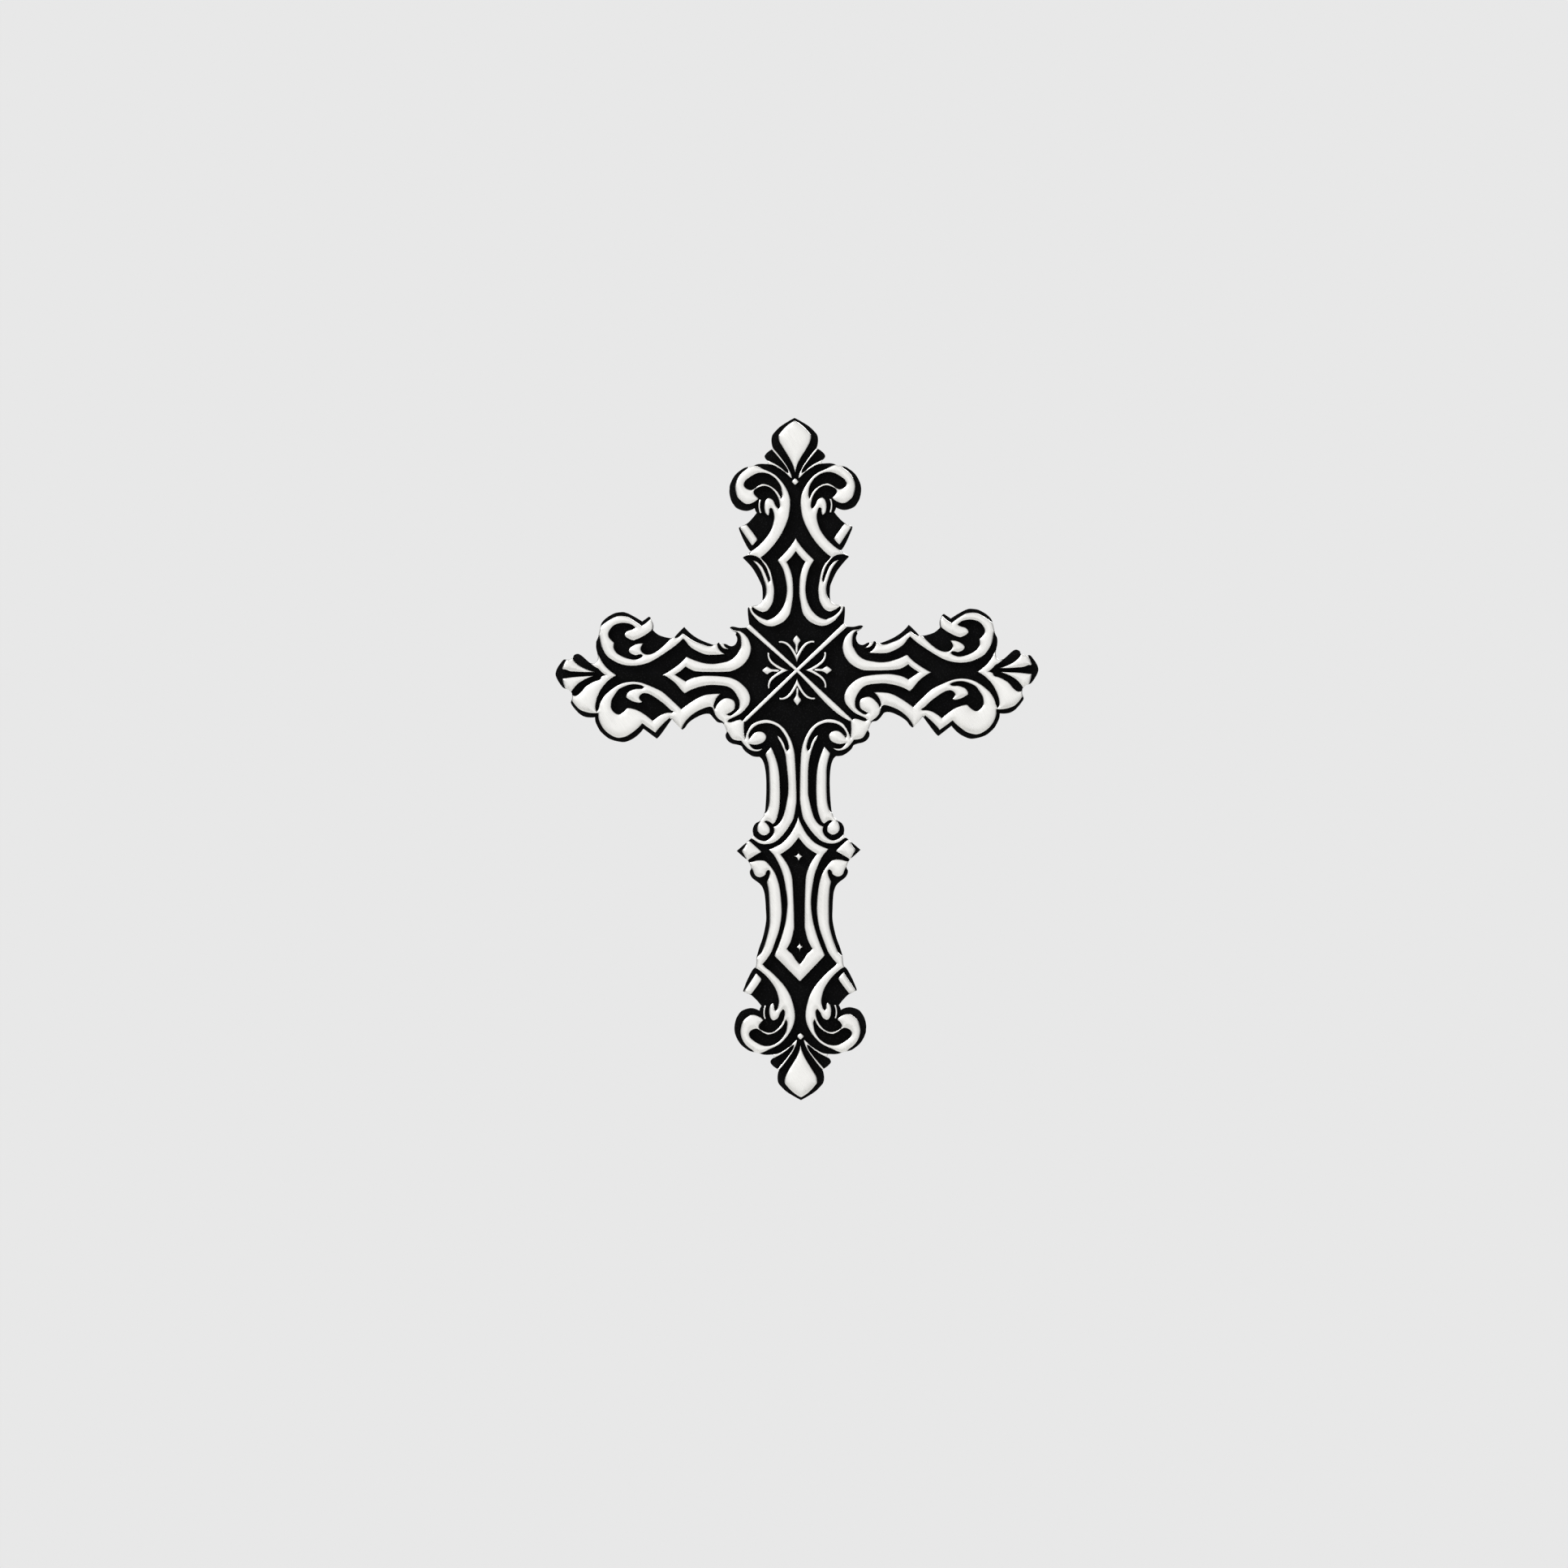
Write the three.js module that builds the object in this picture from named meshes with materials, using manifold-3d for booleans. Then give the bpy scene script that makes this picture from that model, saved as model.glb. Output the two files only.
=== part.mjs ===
// Ornate memorial cross: one flat-backed casting, 90 mm tall, with scrollwork raised above a sunk ground.
// Millimetres, +Z up, the front faces -Y. The origin is on the back face, at the crossing of the arms.
import * as THREE from 'three';
import { mergeVertices } from 'three/addons/utils/BufferGeometryUtils.js';
import Module from 'manifold-3d';

// Overall reach of the arms, from the crossing
const RISE = 33.3;
const DROP = 56.7;
const SIDE_REACH = 31.85;

// Levels of the casting, measured from the flat back
const GROUND_THICKNESS = 2.8;
const RELIEF_HEIGHT = 1.2;

// Saltire ribs over the crossing: widths at the crossing and at the far ends
const RIB_HUB_WIDTH = 0.42;
const UPPER_RIB_END_WIDTH = 0.72;
const LOWER_RIB_END_WIDTH = 0.42;

// Width of the raised hair line beside each end scroll, and widest miss of a flattened curve
const HAIR_LINE_WIDTH = 0.2;
const CURVE_ERROR = 0.035;

// Corners of an outline that lie closer than this are one
const CLOSEST_CORNERS = 1e-4;

// Plain stretch of each arm that takes up a change of its reach
const STRETCH = { rise: [7, 15], drop: [12, 37], side: [10, 14] };

// An outline is a list of [out, up] pairs: out is the distance to one side of the middle, up is the height.
// A curve runs smoothly through its knots. An outline turns a corner where one curve or line meets the next.
const line = (...knots) => knots;

function curve(...knots) {
  const places = knots.map(([out, up]) => new THREE.Vector3(out, up, 0));
  const spline = new THREE.CatmullRomCurve3(places, false, 'centripetal');
  const spans = knots.length - 1;
  const at = (place) => spline.getPoint(place / spans);
  const points = [knots[0]];
  for (let span = 0; span < spans; span += 1) {
    let steps = 1;
    while (steps < 8 && misses(at, span, steps)) steps += 1;
    for (let step = 1; step <= steps; step += 1) {
      const { x, y } = at(span + step / steps);
      points.push([x, y]);
    }
  }
  return thinned(points);
}

// True when the middle of any of the steps lies further than CURVE_ERROR from its chord
function misses(at, span, steps) {
  for (let step = 0; step < steps; step += 1) {
    const chord = new THREE.Line3(at(span + step / steps), at(span + (step + 1) / steps));
    const middle = at(span + (step + 0.5) / steps);
    const nearest = chord.closestPointToPoint(middle, true, new THREE.Vector3());
    if (nearest.distanceTo(middle) > CURVE_ERROR) return true;
  }
  return false;
}

// Leaves out the points that lie within CURVE_ERROR of the chord across them
function thinned(points) {
  const last = points.length - 1;
  if (last < 2) return points;
  const flat = (point) => new THREE.Vector3(point[0], point[1], 0);
  const chord = new THREE.Line3(flat(points[0]), flat(points[last]));
  let furthest = 0;
  let worst = CURVE_ERROR;
  for (let index = 1; index < last; index += 1) {
    const place = flat(points[index]);
    const gap = chord.closestPointToPoint(place, true, new THREE.Vector3()).distanceTo(place);
    if (gap > worst) [worst, furthest] = [gap, index];
  }
  if (furthest === 0) return [points[0], points[last]];
  return [...thinned(points.slice(0, furthest + 1)).slice(0, -1), ...thinned(points.slice(furthest))];
}

const otherSide = (outline) => outline.map(([out, up]) => [-out, up]);
const turned = (outline) => outline.map(([out, up]) => [up, -out]);
const upsideDown = (outline) => outline.map(([out, up]) => [out, -up]);
const backwards = (outline) => [...outline].reverse();
const wholeFromHalf = (half) => [...half, ...backwards(otherSide(half))];
const bothSides = (outline) => [outline, otherSide(outline)];

// Head ornament
const finialRim = curve([0, 33.25], [1, 32.7], [2, 32.04], [2.55, 31.5], [2.95, 31], [3.08, 30.4],
  [2.98, 29.6], [2.86, 29.25]);
const headEdge = [
  ...finialRim,
  ...curve([3.15, 29.08], [3.55, 28.8], [3.85, 28.5], [4, 28.2], [3.75, 27.82], [3.5, 27.65]),
  ...curve([3.6, 27.2], [4.2, 27.24], [4.7, 27.22], [5.15, 27.13], [5.5, 26.97]),
  ...curve([5.85, 26.86], [6.15, 26.86], [6.6, 26.75], [7.2, 26.4], [7.9, 25.8], [8.35, 25.1],
    [8.65, 24.3], [8.7, 23.5], [8.48, 22.5], [8.2, 22], [7.85, 21.55], [7.4, 21.3], [6.9, 21.15],
    [6.5, 21.1], [6.1, 21.15], [5.4, 21.45]),
  ...line([5.4, 21.45], [5.3, 21.15], [5.1, 20.8]),
  ...curve([5.1, 20.8], [5.3, 20.5], [5.7, 20.05], [6.1, 19.65], [6.5, 19.3]),
  ...line([7.5, 18.82]),
  ...curve([7.5, 18.82], [7.22, 18], [6.77, 17], [6.2, 16], [5.85, 15.75]),
];

// The foot repeats the head ornament upside down, from where the shaft's outer edge ends
const shaftEdgeEnd = curve([5.68, -37.8], [5.72, -38.5], [5.85, -39.2]);
const levelOf = ([, up]) => up;
const footMirror = levelOf(headEdge.at(-1)) + levelOf(shaftEdgeEnd.at(-1));
const atFoot = (outline) => outline.map(([out, up]) => [out, footMirror - up]);
const headAndFoot = (outline) => [...bothSides(outline), ...bothSides(atFoot(outline))];

const finialPetal = [
  ...curve([0, 32.85], [0.5, 32.53], [1, 32.2], [1.5, 31.7], [1.95, 31.2], [2.14, 30.85], [2.1, 30.45],
    [1.98, 30], [1.7, 29.5], [1.13, 28.5], [0.54, 27.5], [0.32, 27], [0.16, 26.5], [0, 26]),
];
const finialBead = wholeFromHalf(line([0, 25.32], [0.52, 24.8], [0, 24.3]));
const finialVein = curve([2.72, 29.05], [2.35, 28.5], [1.95, 28], [1.55, 27.5], [1.18, 27], [0.87, 26.5],
  [0.62, 26], [0.43, 25.3]);
const neckLeafTop = curve([0.53, 25.28], [1, 25.73], [1.5, 26.18], [2, 26.53], [2.5, 26.82], [3, 27.03],
  [3.6, 27.15]);
const neckLeafUnder = curve([5.45, 27], [5, 26.87], [4.5, 26.65], [4, 26.45], [3.5, 26.2], [3, 25.95],
  [2.5, 25.6], [2, 25.1], [1.5, 24.5], [1.23, 24], [0.95, 23.5], [0.77, 23], [0.69, 22.5], [0.65, 22]);
const headFieldEdge = [
  ...line([0, 34.4], [3, 33], [4, 31], [3.6, 29.5]),
  ...finialVein,
  ...neckLeafTop,
  ...line([3.9, 27.6], [5.8, 27.6]),
  ...neckLeafUnder,
];
const sideLeaf = [
  ...line([3.3, 29.4], [4.4, 29], [4.6, 28.1], [4.3, 27.62]),
  ...curve([3.8, 27.62], [3.45, 27.59], [3.2, 27.48], [3, 27.36], [2, 26.75], [1.5, 26.37], [1.12, 26.03],
    [0.9, 25.95]),
  ...curve([0.9, 25.95], [0.9, 26.15], [1.01, 26.5], [1.32, 27], [1.71, 27.5], [2.12, 28], [2.56, 28.5],
    [3.12, 29.16]),
];
const crescent = [
  ...curve([1.88, 22.6], [1.75, 23], [1.8, 23.5], [1.98, 24.3], [2.5, 25.15], [2.9, 25.5], [3.3, 25.75],
    [3.8, 25.93], [4.35, 26], [4.9, 25.95], [5.6, 25.65], [6.2, 25.25], [6.5, 25], [6.73, 24.5],
    [6.6, 24.12], [6.3, 23.9], [6, 23.8], [5.7, 23.8], [5.4, 23.95], [5, 24.2], [4.6, 24.42],
    [4.2, 24.53], [3.8, 24.45], [3.4, 24.3], [3, 24.05], [2.6, 23.75], [2.3, 23.4], [2.07, 23],
    [1.88, 22.6]),
];
const scrollAndFlag = [
  ...curve([2.25, 21.25], [2.08, 21.5], [2.1, 22], [2.4, 23], [2.65, 23.4], [3, 23.8], [3.4, 24.1],
    [3.8, 24.25], [4.2, 24.28], [4.7, 24.15], [5.1, 23.95], [5.4, 23.65], [5.42, 23.35], [5.3, 23.1],
    [4.8, 22.65]),
  ...curve([4.8, 22.65], [5, 22.45], [5.3, 22.2], [5.7, 22], [6.1, 21.88], [6.45, 21.9], [6.85, 22.1],
    [7.2, 22.4], [7.55, 22.75], [7.82, 23.5], [7.9, 24.2], [7.75, 24.9], [7.4, 25.6], [6.9, 26.15],
    [6.5, 26.45], [6.25, 26.65]),
  ...line([6.22, 27.3], [7.6, 27], [9, 25.6], [9.4, 23.5], [8.8, 21.5], [7.2, 20.6], [6.2, 20.6],
    [5.55, 21.15], [5.45, 20.8], [6.9, 19.55]),
  ...curve([6.5, 19.3], [6, 18.65], [5.5, 18], [5.15, 17.5], [5, 17.25], [5.3, 16.85], [5.75, 16.4]),
  ...line([5.75, 16.4], [7.4, 18.9], [7.7, 19.1], [8.1, 18.7], [7, 16], [6.1, 15.4]),
  ...curve([5.85, 15.72], [5.5, 15.95], [5, 16.35], [4.5, 16.8], [4, 17.35], [3.6, 17.9], [3.3, 18.4],
    [3.1, 18.9], [2.95, 19.4], [2.83, 20.2], [2.95, 20.9], [3.08, 21.25], [3.22, 21.35], [3.38, 21.2],
    [3.4, 20.8], [3.55, 20.33]),
  ...curve([3.55, 20.33], [3.9, 20.6], [4.1, 21.1], [4.12, 21.6], [4.05, 22.1], [3.85, 22.5],
    [3.55, 22.7], [3.2, 22.6], [2.9, 22.35], [2.73, 22], [2.55, 21.6], [2.25, 21.25]),
];
const hairLineMiddle = curve([4.62, 22.45], [4.77, 21.65], [4.58, 20.72]);
const hairLine = [
  ...hairLineMiddle.map(([out, up]) => [out - HAIR_LINE_WIDTH / 2, up]),
  ...backwards(hairLineMiddle).map(([out, up]) => [out + HAIR_LINE_WIDTH / 2, up]),
];

// Upper arm: the field between the two ribbons, and the split leaf at its side
const upperArmField = [
  ...headFieldEdge,
  ...curve([0.65, 22], [0.68, 21.5], [0.73, 21], [0.92, 20], [1.09, 19.5], [1.3, 19], [1.54, 18.5],
    [1.84, 18], [2.14, 17.5], [2.46, 17], [2.9, 16.5], [3.29, 16], [3.77, 15.5], [4.57, 14.86]),
  ...curve([4.57, 14.86], [4.36, 14.5], [3.9, 14], [3.63, 13.5], [3.37, 13], [3.23, 12.5], [3, 11.5],
    [2.91, 11], [2.87, 10.5], [2.9, 10], [3.07, 9], [3.34, 8.5], [3.68, 8], [4.15, 7.72], [4.45, 7.67],
    [5, 7.86], [5.4, 8.1], [5.76, 8.35]),
  ...curve([5.76, 8.35], [5.85, 8.1], [5.55, 7.6], [5, 7.18], [4.5, 6.92], [3.85, 6.68], [3.5, 6.78],
    [3, 7], [2.5, 7.4], [2, 8], [1.75, 8.5], [1.52, 9], [1.31, 10], [1.27, 10.5], [1.34, 11.5],
    [1.54, 12.5], [1.66, 13], [1.87, 13.5], [2.13, 14], [2.46, 14.45]),
  ...curve([2.46, 14.45], [2, 14.9], [1.5, 15.43], [1, 15.95], [0.5, 16.6], [0, 17.4]),
];
const splitLeaf = [
  ...line([7.6, 15.2], [7.1, 14.95]),
  ...curve([6.9, 14.97], [6.5, 15.08], [6, 15.15], [5.5, 15.08], [5, 14.85], [4.6, 14.5], [4.2, 14],
    [3.88, 13.45], [3.68, 12.9], [3.55, 12.3], [3.45, 11.9], [3.6, 11.6]),
  ...curve([3.6, 11.6], [3.75, 11.9], [3.9, 12.4], [4.1, 12.9], [4.35, 13.45], [4.7, 13.9], [5.1, 14.25],
    [5.65, 14.47]),
  ...curve([5.65, 14.47], [5.4, 14.2], [5, 13.7], [4.7, 13.2], [4.45, 12.6], [4.25, 12], [4.1, 11.4],
    [3.97, 10.9], [3.95, 10.4], [4, 10], [4.3, 9.35]),
  ...line([4.75, 9.3], [5.1, 11.2], [5.9, 12.8], [7.3, 14.5]),
];

// Crossing: three fields that meet under the ribs
const upperCrossField = [
  ...curve([0, 15.6], [0.4, 15.05], [0.8, 14.6], [1.2, 14.23]),
  ...curve([1.2, 14.23], [0.84, 13.5], [0.68, 13], [0.54, 12.5], [0.45, 12], [0.39, 11], [0.38, 10],
    [0.5, 9], [0.67, 8], [0.8, 7.5], [1.12, 7], [1.55, 6.5], [2, 6.2], [2.5, 5.97], [3, 5.8], [3.4, 5.77],
    [4, 5.87], [4.5, 6.1], [5, 6.43], [5.5, 6.98], [5.9, 7.5], [6.07, 8], [6.24, 8.4]),
  ...line([6.4, 8.8], [7, 8.4], [6.9, 7], [6.6, 6.5], [6.25, 6.2], [0, 0]),
];
const sideCrossField = [
  ...line([0, 0], [6.65, 5.7], [6.95, 6.1], [9.2, 6.3], [9.2, 5.8]),
  ...curve([8.75, 5.62], [8.5, 5.45], [8.2, 5.3], [7.8, 5.27], [7.4, 5.2], [7, 4.95], [6.6, 4.55],
    [6.25, 4], [6.08, 3.5], [6, 3], [6.05, 2.5], [6.2, 2], [6.5, 1.43], [7, 0.83], [7.5, 0.44], [8, 0.17],
    [8.5, -0.03], [9, -0.13], [10.5, -0.15], [12.5, -0.12], [13.2, -0.05], [13.7, 0.05], [14.2, 0.3],
    [14.67, 0.6]),
  ...curve([14.67, 0.6], [15.1, 0.2], [15.5, -0.1], [16.05, -0.43]),
  ...curve([16.05, -0.43], [15.6, -0.75], [15.2, -1], [14.67, -1.32]),
  ...curve([14.67, -1.32], [14.2, -1.05], [13.7, -0.85], [13, -0.7], [12.5, -0.62], [11, -0.62],
    [10, -0.72], [9, -0.83], [8.5, -0.98], [8, -1.2], [7.5, -1.52], [7, -1.98], [6.55, -2.5], [6.3, -3],
    [6.17, -3.5], [6.2, -4], [6.38, -4.5], [6.73, -4.95], [7.1, -5.35], [7.5, -5.7], [8, -5.95],
    [8.5, -6.2], [9, -6.45], [9.18, -6.66]),
  ...curve([9.18, -6.66], [8.8, -6.75], [8.3, -6.6], [7.8, -6.45], [7.5, -6.42], [7.2, -6.57]),
];
const sprigArch = [
  ...curve([0, 1.12], [0.25, 1.6], [0.5, 2.2], [1, 3], [1.5, 3.45], [1.95, 3.62], [2.32, 3.65]),
  ...curve([2.32, 3.85], [1.7, 3.83], [1.2, 3.62], [0.75, 3.2], [0.4, 2.6], [0, 2.05]),
];
const sprigBud = [
  ...line([0, 4.7], [0.6, 3.92]),
  ...curve([0.6, 3.92], [0.35, 3.62], [0.2, 3.3], [0.1, 2.7], [0.08, 2.35]),
];
const ribEnds = { upper: [6.75, 6.2], lower: [7.05, -6.66] };

// Side arm
const armField = [
  ...curve([17.7, -0.45], [17, 0], [16.3, 0.4], [15.8, 0.75], [15.3, 1.15], [14.9, 1.6], [14.55, 1.97]),
  ...curve([14.55, 1.97], [14.2, 1.8], [13.7, 1.55], [13, 1.3], [12.3, 1.1], [11.7, 1], [11, 0.97],
    [10, 1.1], [9.5, 1.2], [9, 1.33], [8.5, 1.6], [8, 2.07], [7.7, 2.5], [7.43, 3], [7.35, 3.5],
    [7.35, 4], [7.4, 4.4], [7.6, 4.85], [7.85, 5.1]),
  ...line([8.3, 5.2], [8.35, 4.2], [8.7, 3.6], [9.4, 3.9]),
  ...curve([9.6, 3.55], [9.5, 3.3], [9.2, 3], [8.8, 2.8]),
  ...curve([8.8, 2.8], [9.3, 2.87], [9.7, 3], [10, 3.3], [10.15, 3.6], [10.28, 3.95]),
  ...curve([10.45, 3.9], [10.42, 3.4], [10.3, 3], [10, 2.6], [9.6, 2.35], [9.4, 2.2]),
  ...curve([9.4, 2.2], [10.2, 2.15], [10.8, 2.1], [11.4, 2.1], [12, 2.15], [12.7, 2.4], [13.3, 2.7],
    [13.8, 3], [14.3, 3.45], [14.7, 4], [14.97, 4.25]),
  ...curve([14.97, 4.25], [15.3, 4], [16, 3.35], [17, 2.65], [18, 2], [19, 1.4], [20, 1], [21, 0.8],
    [22, 0.77], [23, 0.93], [24, 1.35], [24.9, 1.95], [25.3, 2.5], [25.6, 3], [25.8, 3.7], [25.92, 4.3],
    [26, 4.8]),
  ...line([26.8, 4.9], [26.9, 3]),
  ...curve([26.15, 2.3], [26, 2], [25.6, 1.3], [25.1, 0.65], [24.5, 0.1], [23.72, -0.45]),
  ...curve([23.72, -0.45], [24.6, -0.95], [25.2, -1.5], [25.7, -2.1], [26.1, -2.8], [26.4, -3.5],
    [26.5, -4.1], [26.6, -4.7], [26.42, -5.2]),
  ...curve([26.42, -5.2], [26.25, -4.9], [26.05, -4.2], [25.75, -3.6], [25.3, -3], [24.7, -2.5],
    [24, -1.95], [23.4, -1.65], [23, -1.48], [22, -1.3], [21, -1.35], [20, -1.6], [19, -2.03], [18, -2.5],
    [17.5, -2.85], [17, -3.3], [16.5, -3.8], [16, -4.3], [15.28, -4.97]),
  ...curve([15.28, -4.97], [14.7, -4.6], [14.2, -4.2], [13.6, -3.8], [13, -3.45], [12.4, -3.2],
    [11.8, -3.05], [11.2, -3], [10.03, -2.98]),
  ...curve([10.03, -2.98], [10.2, -3.1], [10.5, -3.4], [10.75, -3.8], [10.95, -4.3], [11, -4.7],
    [10.85, -5]),
  ...curve([10.85, -5], [10.7, -4.6], [10.4, -4.2], [10.1, -3.9], [9.8, -3.7], [9.4, -3.56], [9, -3.6],
    [8.6, -3.75], [8.3, -4], [8.17, -4.4], [8.2, -4.8], [8.4, -5.2], [8.7, -5.42], [9, -5.55],
    [9.28, -5.72]),
  ...curve([9.28, -5.72], [8.9, -5.87], [8.4, -5.65], [8, -5.3], [7.72, -5], [7.65, -4.5], [7.67, -4],
    [7.9, -3.4], [8.2, -2.9], [8.5, -2.53], [9, -2.18], [9.5, -2.02], [10.3, -1.92], [11.3, -1.87],
    [12.3, -1.98], [13, -2.15], [13.8, -2.4], [14.3, -2.65], [14.82, -2.95]),
  ...curve([14.82, -2.95], [15.2, -2.6], [15.6, -2.1], [16, -1.65], [16.5, -1.2], [17, -0.85],
    [17.7, -0.45]),
];
const armPeak = [
  ...curve([10.8, 3.5], [11.2, 3.28], [11.8, 3.3], [12.4, 3.5], [13, 3.75], [13.6, 4], [14.2, 4.4],
    [15, 5]),
  ...line([15.95, 4.38], [16.3, 4.6], [14.8, 6.7], [12.8, 4.9], [10.9, 3.9]),
];
const upperVoluteLeaf = [
  ...curve([24, 3.85], [24.4, 4.2], [24.7, 4.6], [24.77, 5.1], [24.6, 5.5], [24.3, 5.9], [23.9, 6.2],
    [23.4, 6.35], [23, 6.42], [22.5, 6.35], [22, 6.3], [21.6, 6.1], [21.3, 5.85], [21.45, 5.68],
    [21.8, 5.6], [22.3, 5.4], [22.6, 5.1], [22.7, 4.85], [22.5, 4.55], [22, 4.25], [21.6, 4.12],
    [21.2, 4.2], [20.7, 4.4], [20.2, 4.65], [19.7, 4.95], [19.3, 5.3], [18.98, 5.53]),
  ...line([18.6, 5.7], [17.4, 5.1], [16.5, 4.8], [16.4, 4.4]),
  ...curve([16.55, 4.33], [17, 3.95], [17.5, 3.5], [18, 3.02], [18.5, 2.65], [19, 2.4], [19.5, 2.28],
    [19.9, 2.3], [20.3, 2.5], [20.5, 2.8], [20.53, 3.15], [20.2, 3.72]),
  ...curve([20.2, 3.72], [20.6, 3.75], [21, 3.7], [21.5, 3.5], [22, 3.15], [22.2, 2.85], [22, 2.5],
    [21.6, 2.25], [21.2, 2.15], [20.8, 2.25], [20.5, 2.25], [20.35, 2.05], [20.6, 1.85], [21, 1.7],
    [21.5, 1.62], [22, 1.7], [22.5, 1.85], [23, 2.08], [23.5, 2.35], [23.9, 2.75], [24.1, 3.3],
    [24, 3.85]),
];
const lowerVoluteLeaf = [
  ...curve([22.42, -4.72], [22.7, -5], [23, -5.3], [23.3, -5.5], [23.6, -5.57], [24, -5.4], [24.3, -5.1],
    [24.5, -4.7], [24.5, -4.3], [24.4, -3.7], [24, -3], [23.5, -2.35], [23, -2.05], [22.5, -1.85],
    [22, -1.7], [21.5, -1.65], [21, -1.7], [20.6, -1.8], [20.22, -2], [20.4, -2.2], [20.8, -2.22],
    [21.3, -2.25], [21.8, -2.4], [22.2, -2.6], [22.5, -3], [22.62, -3.35]),
  ...curve([22.62, -3.35], [22.2, -3.65], [21.6, -3.95], [21, -4.1], [20.7, -4.12], [20.4, -3.93]),
  ...curve([20.4, -3.93], [20.65, -3.72], [20.78, -3.4], [20.6, -3.05], [20.2, -2.87], [19.8, -2.9],
    [19.3, -3.1], [18.8, -3.4], [18.3, -3.75], [17.7, -4.2], [17.2, -4.65], [16.7, -5.1], [16.38, -5.3]),
  ...curve([16.38, -5.3], [16.5, -5.4], [17, -5.4], [17.5, -5.5], [18, -5.7], [18.4, -6], [19.05, -6.47]),
  ...curve([19.05, -6.47], [19.5, -6.1], [20, -5.75], [20.5, -5.35], [21, -5.1], [21.5, -4.9],
    [22, -4.77], [22.42, -4.72]),
];
const upperVoluteRim = [
  ...curve([25.85, 5.95], [25.4, 6.35], [25, 6.65], [24.5, 6.95], [24, 7.2], [23.5, 7.35], [23, 7.35],
    [22.5, 7.3], [22, 7.1], [21.5, 6.8], [20.45, 6.05]),
  ...curve([20.45, 6.05], [20, 6.3], [19.6, 6.65], [19.1, 7.1]),
  ...line([19.2, 7.7], [20.3, 7.4], [22, 8.5], [24.6, 8.3], [26.4, 6.7]),
];
const lowerVoluteRim = [
  ...curve([29.85, -3.45], [29.6, -3.75], [29.4, -4.1], [29.1, -4.5], [28.6, -4.95], [28, -5.2],
    [27.4, -5.35], [26.25, -5.4]),
  ...curve([26.25, -5.4], [26.2, -6.1], [26, -6.7], [25.6, -7.4], [25.1, -7.95], [24.6, -8.3], [24, -8.6],
    [23.5, -8.68], [23, -8.6], [22.5, -8.45], [22, -8.15], [21.5, -7.8], [21, -7.35], [20.45, -6.83]),
  ...line([20.45, -6.83], [18.73, -8.05]),
  ...curve([18.73, -8.05], [18.3, -7.5], [17.8, -7], [17.3, -6.5], [17, -6.22], [16.85, -6.12]),
  ...line([16.6, -6.6], [17.2, -8], [18.5, -9.6], [20.3, -8.2], [21.5, -9.5], [23.5, -10], [25.9, -9.2],
    [27.1, -6.7], [28.6, -6.5], [30.3, -5], [30.5, -3.7]),
];
const armEndFan = [
  ...curve([25.25, -0.4], [25.6, -0.15], [25.9, 0.1], [26.1, 0.35], [26.6, 0.65], [27.1, 1.05]),
  ...line([27.1, 1.6], [28.7, 3.1], [30, 2.3]),
  ...curve([29.55, 1.83], [29.3, 1.45], [28.7, 0.9], [28, 0.5], [27.3, 0.2], [26.55, 0.04]),
  ...curve([26.55, 0.04], [28, 0], [29, 0.05], [30, 0.15], [30.5, 0.35], [30.9, 0.42]),
  ...curve([30.9, 0.62], [30.6, 1.2], [30.35, 1.75]),
  ...line([30.4, 2.3], [31.6, 2], [32.7, 0.6], [32.7, -0.8], [31.7, -2.3], [30.5, -2.7]),
  ...curve([30.5, -2.2], [30.8, -1.4], [30.92, -0.8]),
  ...curve([30.92, -0.8], [30.1, -0.7], [29.5, -0.6], [28, -0.55], [26.8, -0.5]),
  ...curve([26.8, -0.5], [27.5, -0.75], [28.3, -1.15], [29, -1.65], [29.5, -2.3], [29.8, -2.65]),
  ...line([30.2, -2.8], [30.1, -3.2]),
  ...curve([29.65, -3], [29.3, -3.07], [28.9, -2.95], [28.4, -2.5], [28, -2], [27.3, -1.5], [26.6, -1.15],
    [26, -0.95], [25.8, -0.6], [25.25, -0.4]),
];
const armUnderWave = [
  ...curve([15.35, -7.75], [15.2, -7.35], [14.9, -6.8], [14.4, -6.2], [13.9, -5.75], [13.3, -5.35],
    [12.7, -5.05], [12, -4.8], [11.5, -4.7], [11.25, -4.8]),
  ...curve([11.25, -4.8], [11.05, -5.2], [10.8, -5.8], [10.4, -6.3], [10, -6.65], [9.75, -6.8]),
  ...line([9.9, -7.3], [10.8, -7.2], [12, -6.1], [13.4, -6.7], [14.6, -7.8], [15.3, -8.1]),
];

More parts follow.
